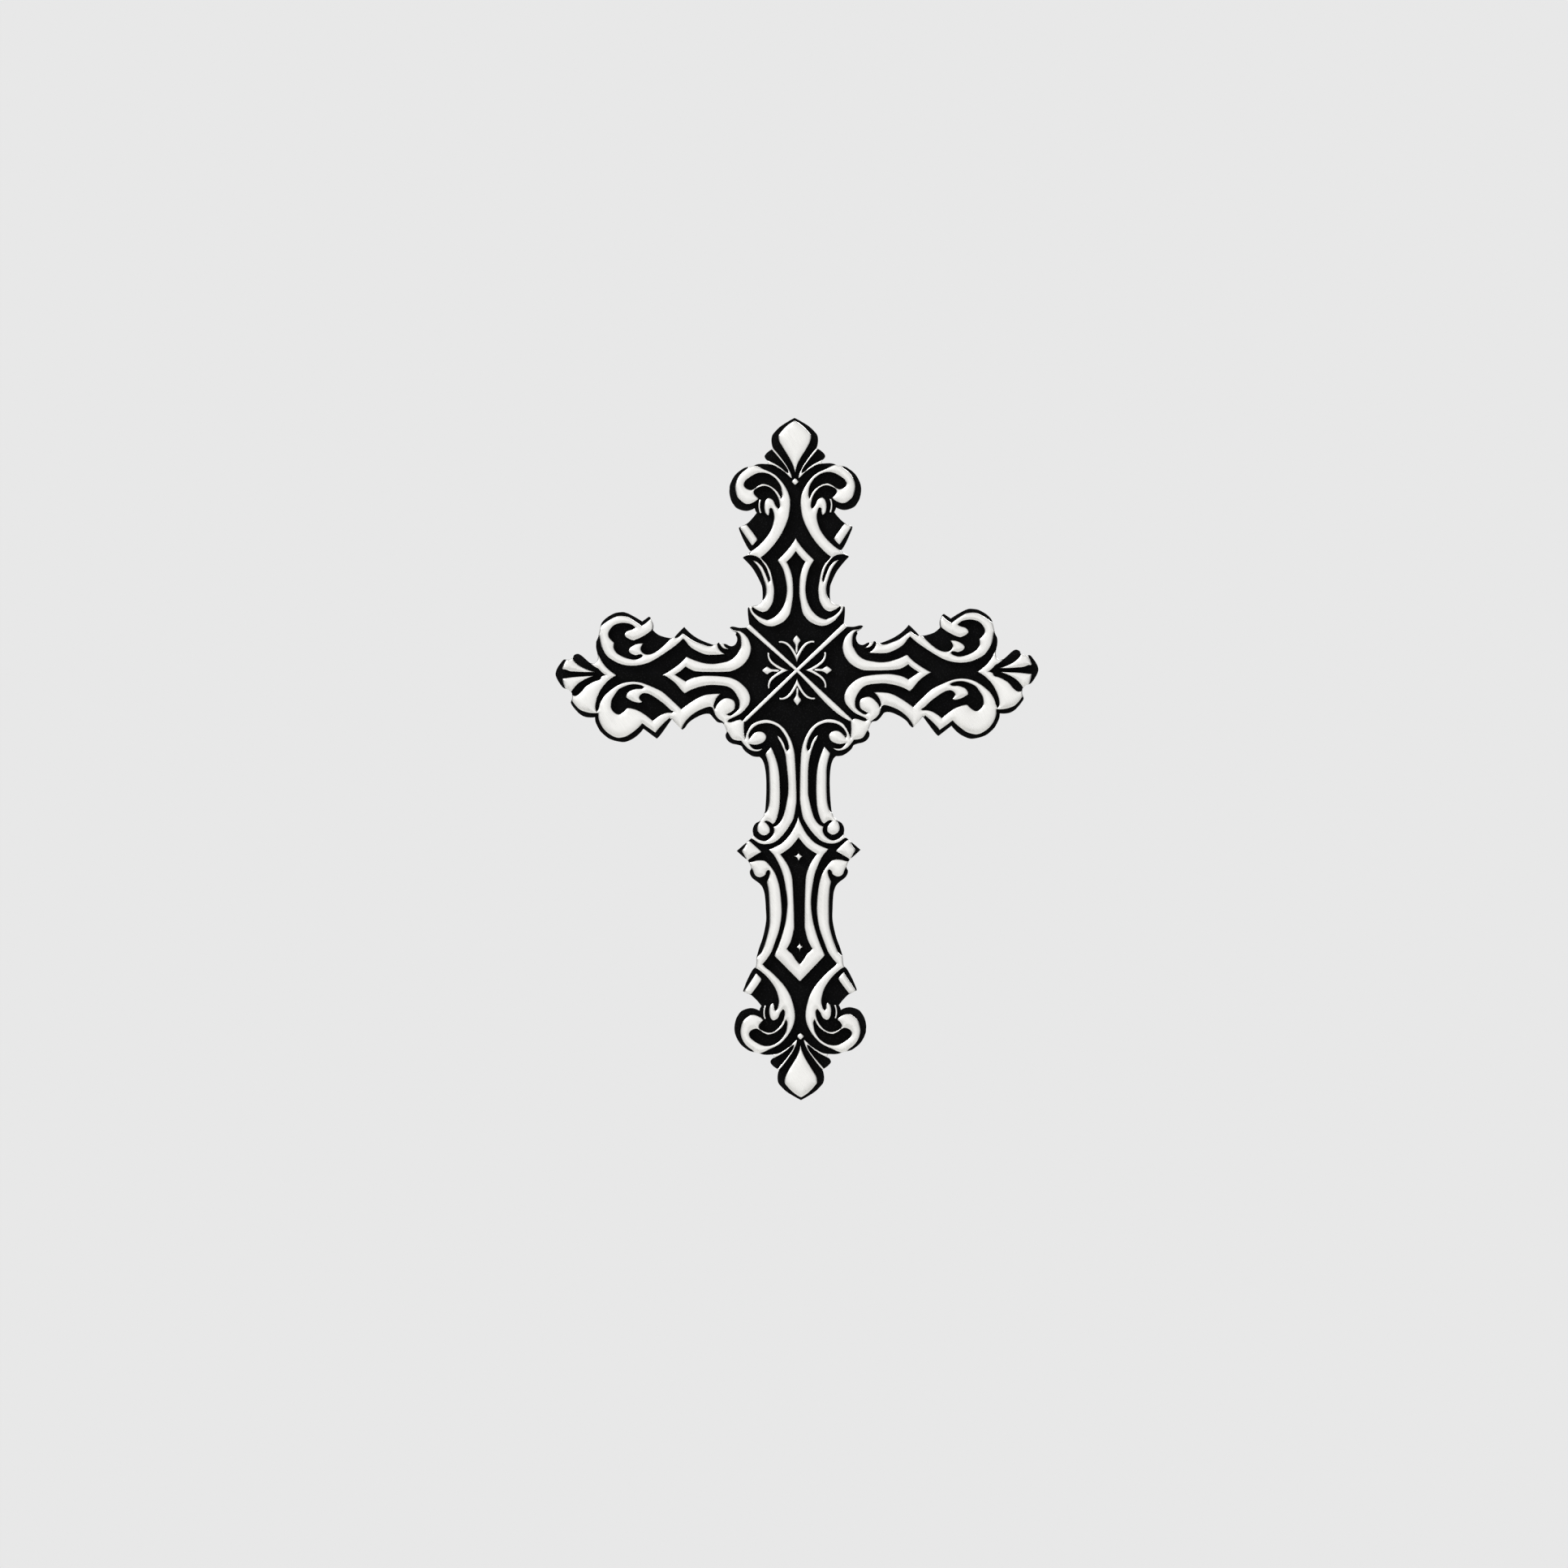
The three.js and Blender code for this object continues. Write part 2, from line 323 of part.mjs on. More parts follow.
// Shaft: the long field, the shepherd's-crook scroll, the ring, the side peak and the forked rod
const shaftField = [
  ...line([0, 0], [6.98, -6.66]),
  ...curve([6.98, -6.66], [7, -7.3], [7.02, -8.3], [6.95, -9]),
  ...curve([6.95, -9], [6.75, -8.5], [6.6, -8], [6.32, -7.5], [6, -7.1], [5.5, -6.8], [5, -6.6],
    [4.3, -6.47], [3.8, -6.5], [3.3, -6.65], [2.8, -6.85], [2.4, -7.1], [2, -7.42], [1.6, -7.85],
    [1.2, -8.5], [0.9, -9.1], [0.7, -9.7], [0.47, -10.5], [0.38, -11.2], [0.33, -12], [0.3, -14],
    [0.24, -15.3], [0.2, -16], [0.2, -17], [0.33, -18.2], [0.47, -19], [0.6, -19.5], [0.86, -20],
    [1.15, -20.5], [1.48, -21], [1.87, -21.5], [2.33, -22], [2.9, -22.5], [3.5, -22.78], [4, -22.9],
    [4.5, -22.92], [5, -22.83], [5.5, -22.6], [5.9, -22.3], [6.3, -22.1]),
  ...line([6.6, -22.4]),
  ...curve([6.35, -22.5], [5.9, -22.95], [5.4, -23.4], [4.83, -23.9]),
  ...curve([4.83, -23.9], [5.3, -24.15], [6, -24.55], [6.65, -25]),
  ...line([6.75, -25.3]),
  ...curve([6.3, -25.2], [5.9, -25.1], [5.5, -25], [5, -24.97], [4.5, -25.05], [4.1, -25.35],
    [3.7, -25.85], [3.3, -26.4], [2.95, -27.1], [2.73, -27.8], [2.56, -28.5], [2.45, -29.2], [2.37, -30],
    [2.3, -32], [2.37, -32.7], [2.6, -34], [2.98, -35.2], [3.19, -35.8], [3.44, -36.5], [3.69, -37.1],
    [3.98, -37.6], [4.4, -38.1], [4.86, -38.7]),
  ...curve([4.86, -38.7], [4.5, -39.1], [4, -39.5], [3.5, -40], [3, -40.45], [2.5, -41], [2, -41.6],
    [1.6, -42.2], [1.2, -43], [1, -43.6], [0.84, -44.2], [0.74, -44.9], [0.65, -45.45]),
  ...backwards(atFoot(headFieldEdge)),
];
const crookScroll = [
  ...curve([6.35, -8.98], [6.43, -8.6], [6.3, -8.1], [6, -7.7], [5.6, -7.35], [5.1, -7.1], [4.6, -7],
    [4, -6.95], [3.4, -7.05], [2.9, -7.25], [2.4, -7.6], [2, -8.1], [1.65, -8.65], [1.4, -9.2],
    [1.25, -9.8], [1.2, -10.3], [1.38, -10.62]),
  ...curve([1.38, -10.62], [1.6, -10.3], [1.75, -9.8], [2, -9.3], [2.3, -8.85], [2.7, -8.55]),
  ...curve([2.7, -8.55], [2.5, -9.1], [2.2, -9.6], [2, -10.2], [1.8, -10.8], [1.62, -11.5], [1.55, -12.3],
    [1.5, -14], [1.45, -14.8], [1.35, -15.5], [1.35, -16], [1.45, -16.7], [1.57, -17.5], [1.75, -18.3],
    [1.9, -18.85], [2.05, -19.3], [2.3, -19.8], [2.6, -20.2], [3, -20.5], [3.35, -20.6]),
  ...curve([3.35, -20.6], [3.25, -20.9], [3.25, -21.3], [3.5, -21.8], [4, -22.25], [4.5, -22.45],
    [5, -22.35], [5.5, -22.1], [5.98, -21.55]),
  ...line([6.6, -21.3], [6.3, -20], [5.3, -19.4]),
  ...curve([5.05, -19.85], [5.35, -20.4], [5.43, -20.9], [5.3, -21.3], [5, -21.6], [4.5, -21.75],
    [4.1, -21.6], [3.8, -21.3], [3.75, -20.9], [3.9, -20.5], [4.2, -20.2], [4.42, -19.95], [4.25, -19.83],
    [3.95, -19.9], [3.6, -20.15], [3.45, -20.29]),
  ...curve([3.45, -20.29], [3.2, -20.15], [2.95, -19.8], [2.75, -19.2], [2.6, -18.8], [2.45, -18],
    [2.38, -17], [2.36, -15.2], [2.43, -14.2], [2.48, -13.3], [2.62, -12.5], [2.8, -11.8], [3.05, -11.1],
    [3.3, -10.5], [3.5, -10.03]),
  ...line([3.5, -10.03], [4.3, -10.95]),
  ...curve([4.3, -10.95], [4.2, -11.2], [4, -11.9], [3.86, -12.5], [3.8, -13.5], [3.75, -14.5],
    [3.76, -16.5], [3.83, -17.5], [4, -18.2], [4.2, -18.65]),
  ...line([4.6, -18.9], [4.9, -18.3], [4.7, -15], [4.9, -12.5], [5.3, -11.8], [6.2, -11.8], [7.4, -10.8],
    [7.9, -10.2], [9.2, -9.9], [10, -8.8], [9.9, -7.9]),
  ...curve([9.25, -8], [8.95, -8.5], [8.7, -8.85], [8.3, -9.1], [7.8, -9.2], [7.42, -9.22]),
  ...curve([7.42, -9.22], [7.1, -9.6], [6.9, -9.9], [6.6, -10.2], [6.2, -10.45], [5.7, -10.6],
    [5.3, -10.63], [4.9, -10.5], [4.6, -10.25]),
  ...curve([4.6, -10.25], [5, -10.37], [5.4, -10.4], [5.8, -10.3], [6.1, -10.05], [6.33, -9.68]),
  ...curve([6.33, -9.68], [6, -9.7], [5.5, -9.8], [5, -9.7], [4.5, -9.45], [4.2, -9.1], [4.1, -8.7],
    [4.3, -8.3], [4.7, -8.05], [5.2, -8], [5.6, -8.15], [6, -8.5], [6.35, -8.98]),
];
const sidePeak = line([6.9, -22.85], [7.5, -23.75], [6.95, -24.75], [7.1, -25.2], [8.9, -23.75],
  [7.2, -22.3]);
const forkedRod = [
  ...curve([6.2, -26], [6, -26.5], [5.8, -26.9], [5.5, -27.15], [5, -27.25], [4.7, -27.15], [4.4, -26.9],
    [4.25, -26.5], [4, -26.3], [3.85, -26.5], [3.88, -26.9], [4.25, -27.85]),
  ...curve([4.25, -27.85], [4.1, -28.6], [4, -29.2], [3.97, -31], [3.9, -32.8], [3.93, -33.5],
    [4.08, -34.3], [4.25, -35], [4.5, -35.7], [4.75, -36.5], [5, -37.1], [5.4, -37.55], [5.75, -37.85]),
  ...line([6.3, -37.8], [5.3, -35], [4.8, -32.5], [5, -29.5], [5.5, -28.4], [6.9, -27.4], [7.1, -26.3],
    [6.7, -25.7]),
];
const shaftRibbon = [
  ...curve([0, -19.33], [0.3, -20], [0.5, -20.5], [0.8, -21.1], [1.2, -21.7], [1.6, -22.2], [2, -22.6],
    [2.5, -22.95], [3, -23.2], [4, -23.6]),
  ...curve([4, -23.6], [3.6, -24], [3.2, -24.5], [2.9, -25.1], [2.6, -25.7], [2.33, -26.3], [2.1, -27.1],
    [1.93, -27.8], [1.8, -28.6], [1.68, -29.4], [1.6, -31], [1.67, -31.8], [1.87, -33.3], [2.05, -34],
    [2.48, -35.4], [3.03, -36.8], [3.37, -37.6]),
  ...curve([3.37, -37.6], [2, -38.97], [1, -40], [0, -41.07]),
];
const shaftRibbonField = [
  ...curve([0, -22.08], [0.5, -22.75], [1, -23.3], [1.5, -23.7], [2.37, -24.25]),
  ...curve([2.37, -24.25], [1.75, -25.1], [1.45, -25.6], [1.2, -26.2], [0.98, -26.8], [0.8, -28],
    [0.73, -30], [0.73, -31], [0.64, -33], [0.65, -33.8], [0.77, -34.5], [1.1, -35.7], [1.35, -36.2],
    [1.65, -36.7]),
  ...curve([1.65, -36.7], [1.4, -37], [1, -37.35], [0.7, -37.75], [0.4, -38.25], [0, -38.72]),
];
const starHalf = (top, middle, bottom, reach) => [
  ...curve([0, top], [reach / 4, (top + 2 * middle) / 3], [reach, middle]),
  ...curve([reach, middle], [reach / 3, (2 * middle + bottom) / 3], [0, bottom]),
];
const upperStarHalf = starHalf(-23.93, -24.5, -25.35, 0.6);
const lowerStarHalf = starHalf(-35.65, -36.5, -36.97, 0.5);

// Outer edge of the whole casting, right half, from the head tip down to the foot tip
const halfEdge = [
  ...headEdge,
  ...curve([5.85, 15.75], [6.35, 15.3], [7, 14.9]),
  ...curve([7, 14.9], [6.5, 14.35], [6, 13.8], [5.6, 13.3], [5.3, 12.8], [4.95, 12.1], [4.7, 11.6],
    [4.5, 11], [4.45, 10.4], [4.45, 9.5], [4.65, 8.95], [5.1, 8.65], [5.75, 8.52], [6.35, 8.33]),
  ...curve([6.35, 8.33], [6.42, 8], [6.35, 7.5], [6.3, 7], [6.25, 6.2]),
  ...curve([6.65, 5.7], [7, 5.7], [7.5, 5.68], [8, 5.76], [8.45, 5.86], [8.78, 5.72], [8.6, 5.46],
    [8.26, 5.24]),
  ...curve([7.97, 5.05], [8.05, 4.8], [7.9, 4.5], [7.85, 4.1], [8, 3.65], [8.3, 3.35], [8.75, 3.28],
    [9.1, 3.4], [9.4, 3.57], [9.6, 3.57]),
  ...curve([9.6, 3.57], [9.95, 3.63], [10.3, 3.75]),
  ...curve([10.3, 3.75], [10.6, 3.53], [10.95, 3.46]),
  ...curve([10.95, 3.46], [11.3, 3.62], [12, 3.85], [12.7, 4.15], [13.3, 4.5], [13.8, 4.85], [14.3, 5.3],
    [14.8, 5.87]),
  ...curve([14.8, 5.87], [15.6, 5.1], [16.12, 4.5]),
  ...curve([16.55, 4.4], [17.2, 4.52], [17.7, 4.65], [18.2, 4.85], [18.6, 5.15], [19, 5.55]),
  ...curve([19, 5.55], [18.92, 6.3], [19.25, 7.13]),
  ...curve([19.25, 7.13], [19.48, 7.25], [20, 6.85], [20.35, 6.65]),
  ...curve([20.35, 6.65], [21, 7.05], [21.5, 7.35], [22.3, 7.75], [22.8, 7.9], [23.3, 7.88], [24, 7.75],
    [24.5, 7.5], [25, 7.2], [25.5, 6.75], [25.78, 6.35]),
  ...curve([25.78, 6.35], [25.95, 5.6], [26.15, 4.7]),
  ...curve([26.15, 4.7], [26.45, 4], [26.47, 3.3], [26.3, 2.6], [26.2, 1.95], [26.4, 1.35], [26.8, 1.12],
    [27.3, 1.25]),
  ...curve([27.3, 1.25], [28, 1.82], [28.6, 2.36], [29, 2.45], [29.4, 2.25], [29.55, 1.9]),
  ...curve([29.55, 1.9], [29.95, 1.7], [30.42, 1.7]),
  ...curve([30.42, 1.7], [30.75, 1.7], [31.2, 1.2], [31.6, 0.6], [31.85, -0.2], [31.6, -0.95],
    [31.2, -1.6], [30.8, -2.05], [30.45, -2.15]),
  ...curve([30.45, -2.15], [30.1, -2.3], [29.75, -2.65]),
  ...curve([29.75, -2.65], [29.66, -3.15], [29.75, -3.62]),
  ...curve([29.75, -3.62], [29.87, -4], [29.6, -4.5], [29.2, -5], [28.7, -5.5], [28.1, -5.85],
    [27.5, -5.95], [26.7, -5.92]),
  ...curve([26.7, -5.92], [26.65, -6.5], [26.4, -7.1], [26, -7.8], [25.5, -8.3], [25, -8.7],
    [24.4, -8.98], [23.5, -9.2], [23, -9.25], [22.5, -9.15], [22, -8.92], [21.5, -8.65], [21, -8.25],
    [20.35, -7.5]),
  ...line([20.35, -7.5], [18.6, -8.83]),
  ...curve([18.6, -8.83], [18.2, -8.45], [17.8, -7.9], [17.3, -7.2], [16.55, -6.2]),
  ...curve([16.55, -6.2], [15.95, -6.95], [15.22, -7.68]),
  ...curve([15.22, -7.68], [14.85, -7.4], [14.5, -6.9], [13.9, -6.4], [13.2, -6], [12.5, -5.7],
    [11.9, -5.6], [11.5, -5.7], [11.2, -6], [10.9, -6.4], [10.5, -6.75], [9.85, -6.88]),
  ...curve([9.85, -6.88], [9.55, -7.4], [9.33, -8.02]),
  ...curve([9.33, -8.02], [9.5, -8.4], [9.42, -8.9], [9, -9.4], [8.6, -9.6], [8, -9.73], [7.4, -9.95]),
  ...curve([7.4, -9.95], [7.2, -10.3], [6.9, -10.65], [6.5, -10.95], [6, -11.26], [5.6, -11.35],
    [5.05, -11.37]),
  ...curve([5.05, -11.37], [4.7, -11.75], [4.5, -12.2], [4.35, -12.8], [4.2, -14.5], [4.2, -15.5],
    [4.33, -17.5], [4.38, -18.5], [4.65, -19.3], [5.12, -19.85]),
  ...curve([5.12, -19.85], [5.6, -20.1], [5.95, -20.6], [6.05, -21.1], [5.98, -21.6], [6.1, -22],
    [6.42, -22.25]),
  ...line([7.1, -22.83], [8.17, -23.75], [7.1, -24.72]),
  ...curve([7.1, -24.72], [6.7, -25.05], [6.45, -25.5], [6.28, -26.05]),
  ...curve([6.28, -26.05], [6.48, -26.5], [6.38, -27], [6.1, -27.4], [5.6, -27.8], [5.2, -28.1],
    [4.9, -28.45], [4.7, -28.9], [4.55, -29.5], [4.41, -31.5], [4.38, -32.8], [4.62, -34.3], [5, -35.7],
    [5.3, -36.5], [5.68, -37.8]),
  ...shaftEdgeEnd,
  ...backwards(atFoot(headEdge)),
];

// Reach of the outer edge as it is drawn
const drawn = {
  rise: Math.max(...halfEdge.map(levelOf)),
  drop: -Math.min(...halfEdge.map(levelOf)),
  side: Math.max(...halfEdge.map(([out]) => out)),
};

// Moves a point with its arm: the plain stretch takes up a change of reach, and the arm's end keeps its form
function stretched(distance, [from, to], change) {
  if (distance <= from) return distance;
  if (distance >= to) return distance + change;
  return distance + (change * (distance - from)) / (to - from);
}

function placed([out, up]) {
  const side = stretched(Math.abs(out), STRETCH.side, SIDE_REACH - drawn.side);
  const rise = stretched(up, STRETCH.rise, RISE - drawn.rise);
  const drop = stretched(-up, STRETCH.drop, DROP - drawn.drop);
  return new THREE.Vector2(Math.sign(out) * side, up > 0 ? rise : -drop);
}

const wasm = await Module();
wasm.setup();

// Solid between two distances from the back face, with the given outline
function slab(outline, from, to) {
  const apart = (point, index, all) => point.distanceTo(all.at(index - 1)) > CLOSEST_CORNERS;
  const shape = new THREE.Shape(outline.map(placed).filter(apart));
  const block = new THREE.ExtrudeGeometry(shape, { depth: to - from, bevelEnabled: false });
  block.translate(0, 0, from).rotateX(Math.PI / 2);
  block.deleteAttribute('normal').deleteAttribute('uv');
  const merged = mergeVertices(block, CLOSEST_CORNERS / 10);
  const vertProperties = merged.attributes.position.array;
  const triVerts = new Uint32Array(merged.index.array);
  return new wasm.Manifold(new wasm.Mesh({ numProp: 3, vertProperties, triVerts }));
}

const TOP = GROUND_THICKNESS + RELIEF_HEIGHT;
const OVERSHOOT = 1;
const pocket = (outline) => slab(outline, GROUND_THICKNESS, TOP + OVERSHOOT);
const raised = (outline) => slab(outline, GROUND_THICKNESS / 2, TOP);
const cutAll = (solid, outlines) => outlines.map(pocket).reduce((rest, block) => rest.subtract(block), solid);
const addAll = (solid, outlines) => outlines.map(raised).reduce((rest, block) => rest.add(block), solid);

// One arm of the saltire, from the crossing to its far end, with both widths measured across it
function rib([out, up], endWidth) {
  const length = Math.hypot(out, up);
  const across = [-up / length, out / length];
  const corner = (share, width) => [out, up].map((way, axis) => share * way + (width / 2) * across[axis]);
  return [corner(0, RIB_HUB_WIDTH), corner(1, endWidth), corner(1, -endWidth), corner(0, -RIB_HUB_WIDTH)];
}

const sprig = [wholeFromHalf(sprigArch), wholeFromHalf(sprigBud)];
const fourWays = (outline) => [outline, upsideDown(outline), ...bothSides(turned(outline))];
const sprigs = sprig.flatMap(fourWays);

const fields = [
  wholeFromHalf(upperArmField), wholeFromHalf(upperCrossField), wholeFromHalf(shaftField),
  ...[sideCrossField, splitLeaf, armField, armPeak, armEndFan, armUnderWave].flatMap(bothSides),
  ...[upperVoluteLeaf, lowerVoluteLeaf, upperVoluteRim, lowerVoluteRim].flatMap(bothSides),
  ...[crookScroll, sidePeak, forkedRod].flatMap(bothSides),
  ...[sideLeaf, crescent, scrollAndFlag].flatMap(headAndFoot),
];
const islands = [
  wholeFromHalf(finialPetal), wholeFromHalf(atFoot(finialPetal)),
  finialBead, atFoot(finialBead),
  ...headAndFoot(hairLine),
  ...bothSides(rib(ribEnds.upper, UPPER_RIB_END_WIDTH)),
  ...bothSides(rib(ribEnds.lower, LOWER_RIB_END_WIDTH)),
  ...sprigs,
  wholeFromHalf(shaftRibbon),
];
const stars = [upperStarHalf, lowerStarHalf].map(wholeFromHalf);

const edge = wholeFromHalf(halfEdge);
let casting = cutAll(slab(edge, 0, TOP), fields);
casting = addAll(casting, islands).intersect(slab(edge, 0, TOP));
casting = addAll(cutAll(casting, [wholeFromHalf(shaftRibbonField)]), stars);

function meshOf(solid) {
  const { vertProperties, triVerts, numProp } = solid.getMesh();
  const geometry = new THREE.BufferGeometry();
  geometry.setAttribute('position', new THREE.BufferAttribute(vertProperties, numProp));
  geometry.setIndex(new THREE.BufferAttribute(triVerts, 1));
  geometry.computeVertexNormals();
  return geometry;
}

const metal = new THREE.MeshStandardMaterial({ color: 0xd8d8d6, roughness: 0.35, metalness: 1 });
const cross = new THREE.Mesh(meshOf(casting), metal);
cross.name = 'cross';

const group = new THREE.Group();
group.add(cross);

export default group;
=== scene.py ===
"""Looks of a small memorial cross cast in metal, in relief on a black ground.

The frame's solid has the shape of the cross with faceted outlines. This script draws the same outlines
without facets, rounds the raised work over as a casting is rounded by its pattern and its polishing, and
gives each zone its finish: satin polished metal on the raised work, black paint in the ground and on the
sides, and blasted metal on the flat back.
"""

import logging
import math
from abc import ABC, abstractmethod
from collections import defaultdict, deque
from collections.abc import Callable, Iterable, Mapping, Sequence
from dataclasses import dataclass
from enum import IntEnum
from functools import partial
from typing import Any

import bpy
import numpy as np
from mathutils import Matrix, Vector
from mathutils.bvhtree import BVHTree
from mathutils.geometry import delaunay_2d_cdt

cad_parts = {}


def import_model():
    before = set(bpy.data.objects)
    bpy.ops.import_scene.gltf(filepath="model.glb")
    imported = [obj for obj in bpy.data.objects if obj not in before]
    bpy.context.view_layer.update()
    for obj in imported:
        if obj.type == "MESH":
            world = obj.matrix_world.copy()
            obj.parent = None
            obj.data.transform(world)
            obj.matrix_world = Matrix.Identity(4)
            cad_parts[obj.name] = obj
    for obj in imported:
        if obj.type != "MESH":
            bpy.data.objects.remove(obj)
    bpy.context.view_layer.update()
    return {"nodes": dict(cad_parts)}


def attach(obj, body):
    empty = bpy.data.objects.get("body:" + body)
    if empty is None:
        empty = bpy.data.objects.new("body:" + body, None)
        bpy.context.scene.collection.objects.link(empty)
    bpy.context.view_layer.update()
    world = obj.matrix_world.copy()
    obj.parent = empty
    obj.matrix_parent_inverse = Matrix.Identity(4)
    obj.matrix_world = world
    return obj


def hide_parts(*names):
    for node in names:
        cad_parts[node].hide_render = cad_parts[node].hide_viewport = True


LOG = logging.getLogger("memorial_cross")
MM = 0.001
CAD_NODE = "cross"
BODY = "root"

# Points of a plan that lie closer together than this many millimetres are one
WELD = 1e-5

# Most values of a noise texture lie between these
NOISE_SPAN = (0.3, 0.7)

Point = tuple[float, float]
Edge = tuple[int, int]
AddNode = Callable[..., bpy.types.Node]


class Zone(IntEnum):
    """What the eye meets at a spot of the cross, from the front. A higher zone stands further forward."""

    OUTSIDE = 0
    GROUND = 1
    RAISED = 2


class Finish(IntEnum):
    """The finish of a face, in the order of the piece's materials."""

    RELIEF = 0
    PAINT = 1
    BACK = 2


def linear(hex_colour: str) -> tuple[float, float, float, float]:
    """Turns an sRGB hex colour into linear light.

    Args:
        hex_colour: the colour as "#rrggbb".

    Returns:
        Red, green, blue and alpha, where alpha is 1.
    """
    parts = [int(hex_colour[i : i + 2], 16) / 255 for i in (1, 3, 5)]
    light = [c / 12.92 if c <= 0.04045 else ((c + 0.055) / 1.055) ** 2.4 for c in parts]
    return (light[0], light[1], light[2], 1.0)


def per_metre(size_mm: float) -> float:
    """The scale of a pattern whose patches are about this many millimetres across."""
    return 1 / (size_mm * MM)


def from_span(low: float, high: float) -> dict[str | int, Any]:
    """The inputs of a Map Range node that reads values from low to high."""
    return {"From Min": low, "From Max": high}


def sides_of(ring: Sequence[Any]) -> list[tuple[Any, Any]]:
    """Each corner of a ring with the next one."""
    return list(zip(ring, (*ring[1:], ring[0])))


def add_node(
    tree: bpy.types.NodeTree,
    kind: str,
    inputs: Mapping[str | int, Any] | None = None,
    **settings: Any,
) -> bpy.types.Node:
    """Adds a node with its settings, values and links.

    Args:
        tree: the tree that gets the node.
        kind: the node's type, as bpy names it.
        inputs: for a socket's name or place, its value or what feeds it: an output, or a node, of which the
            first output is meant.
        **settings: the node's own properties.

    Returns:
        The new node.
    """
    node = tree.nodes.new(kind)
    for name, value in settings.items():
        setattr(node, name, value)
    for socket, given in (inputs or {}).items():
        is_node = isinstance(given, bpy.types.Node)
        source = next(output for output in given.outputs if output.enabled) if is_node else given
        if isinstance(source, bpy.types.NodeSocket):
            tree.links.new(source, node.inputs[socket])
        else:
            node.inputs[socket].default_value = source
    return node


def add_object(name: str, data: bpy.types.ID) -> bpy.types.Object:
    """Adds an object to the scene.

    Args:
        name: its name.
        data: its mesh, light or camera.

    Returns:
        The new object.
    """
    made = bpy.data.objects.new(name, data)
    bpy.context.scene.collection.objects.link(made)
    return made


class Surface(ABC):
    """A surface: its name, and what its shader is given."""

    name: str

    @abstractmethod
    def shader_inputs(self, add: AddNode, place: bpy.types.NodeSocket) -> dict[str, Any]:
        """Builds what the shader is given.

        Args:
            add: what adds nodes to the material.
            place: the Object coordinates, whose Y is 0 on the back face.

        Returns:
            For each of the Principled shader's inputs that is set, its value or the node that feeds it.
        """

    def material(self) -> bpy.types.Material:
        """Builds the material.

        Returns:
            The new material.
        """
        material = bpy.data.materials.new(self.name)
        material.use_nodes = True
        material.node_tree.nodes.clear()
        add = partial(add_node, material.node_tree)
        place = add("ShaderNodeTexCoord").outputs["Object"]
        shader = add("ShaderNodeBsdfPrincipled", self.shader_inputs(add, place))
        add("ShaderNodeOutputMaterial", {"Surface": shader})
        return material


@dataclass(frozen=True)
class CastingSizes:
    """Sizes of the casting in millimetres."""

    ground_level: float = 2.8
    top_level: float = 4.0
    edge_radius: float = 0.15
    crown_height: float = 0.22
    crown_span: float = 1.30
    facet_error: float = 0.035
    longest_step: float = 0.20
    shortest_step: float = 0.05
    turn_per_step: float = math.radians(8)
    edge_ring_angles: tuple[float, ...] = (28, 52, 72, 90)
    crown_ring_shares: tuple[float, ...] = (0.22, 0.34, 0.5, 0.74, 1.0)

    def rings(self, rounding: float) -> list[float]:
        """Distances from the outline at which the raised work gets points.

        Args:
            rounding: the width of the rounded edge there.

        Returns:
            The distances round the edge, then over the crown.
        """
        edge = [rounding * (1 - math.cos(math.radians(angle))) for angle in self.edge_ring_angles]
        crown = [self.crown_span * share for share in self.crown_ring_shares]
        return edge + crown


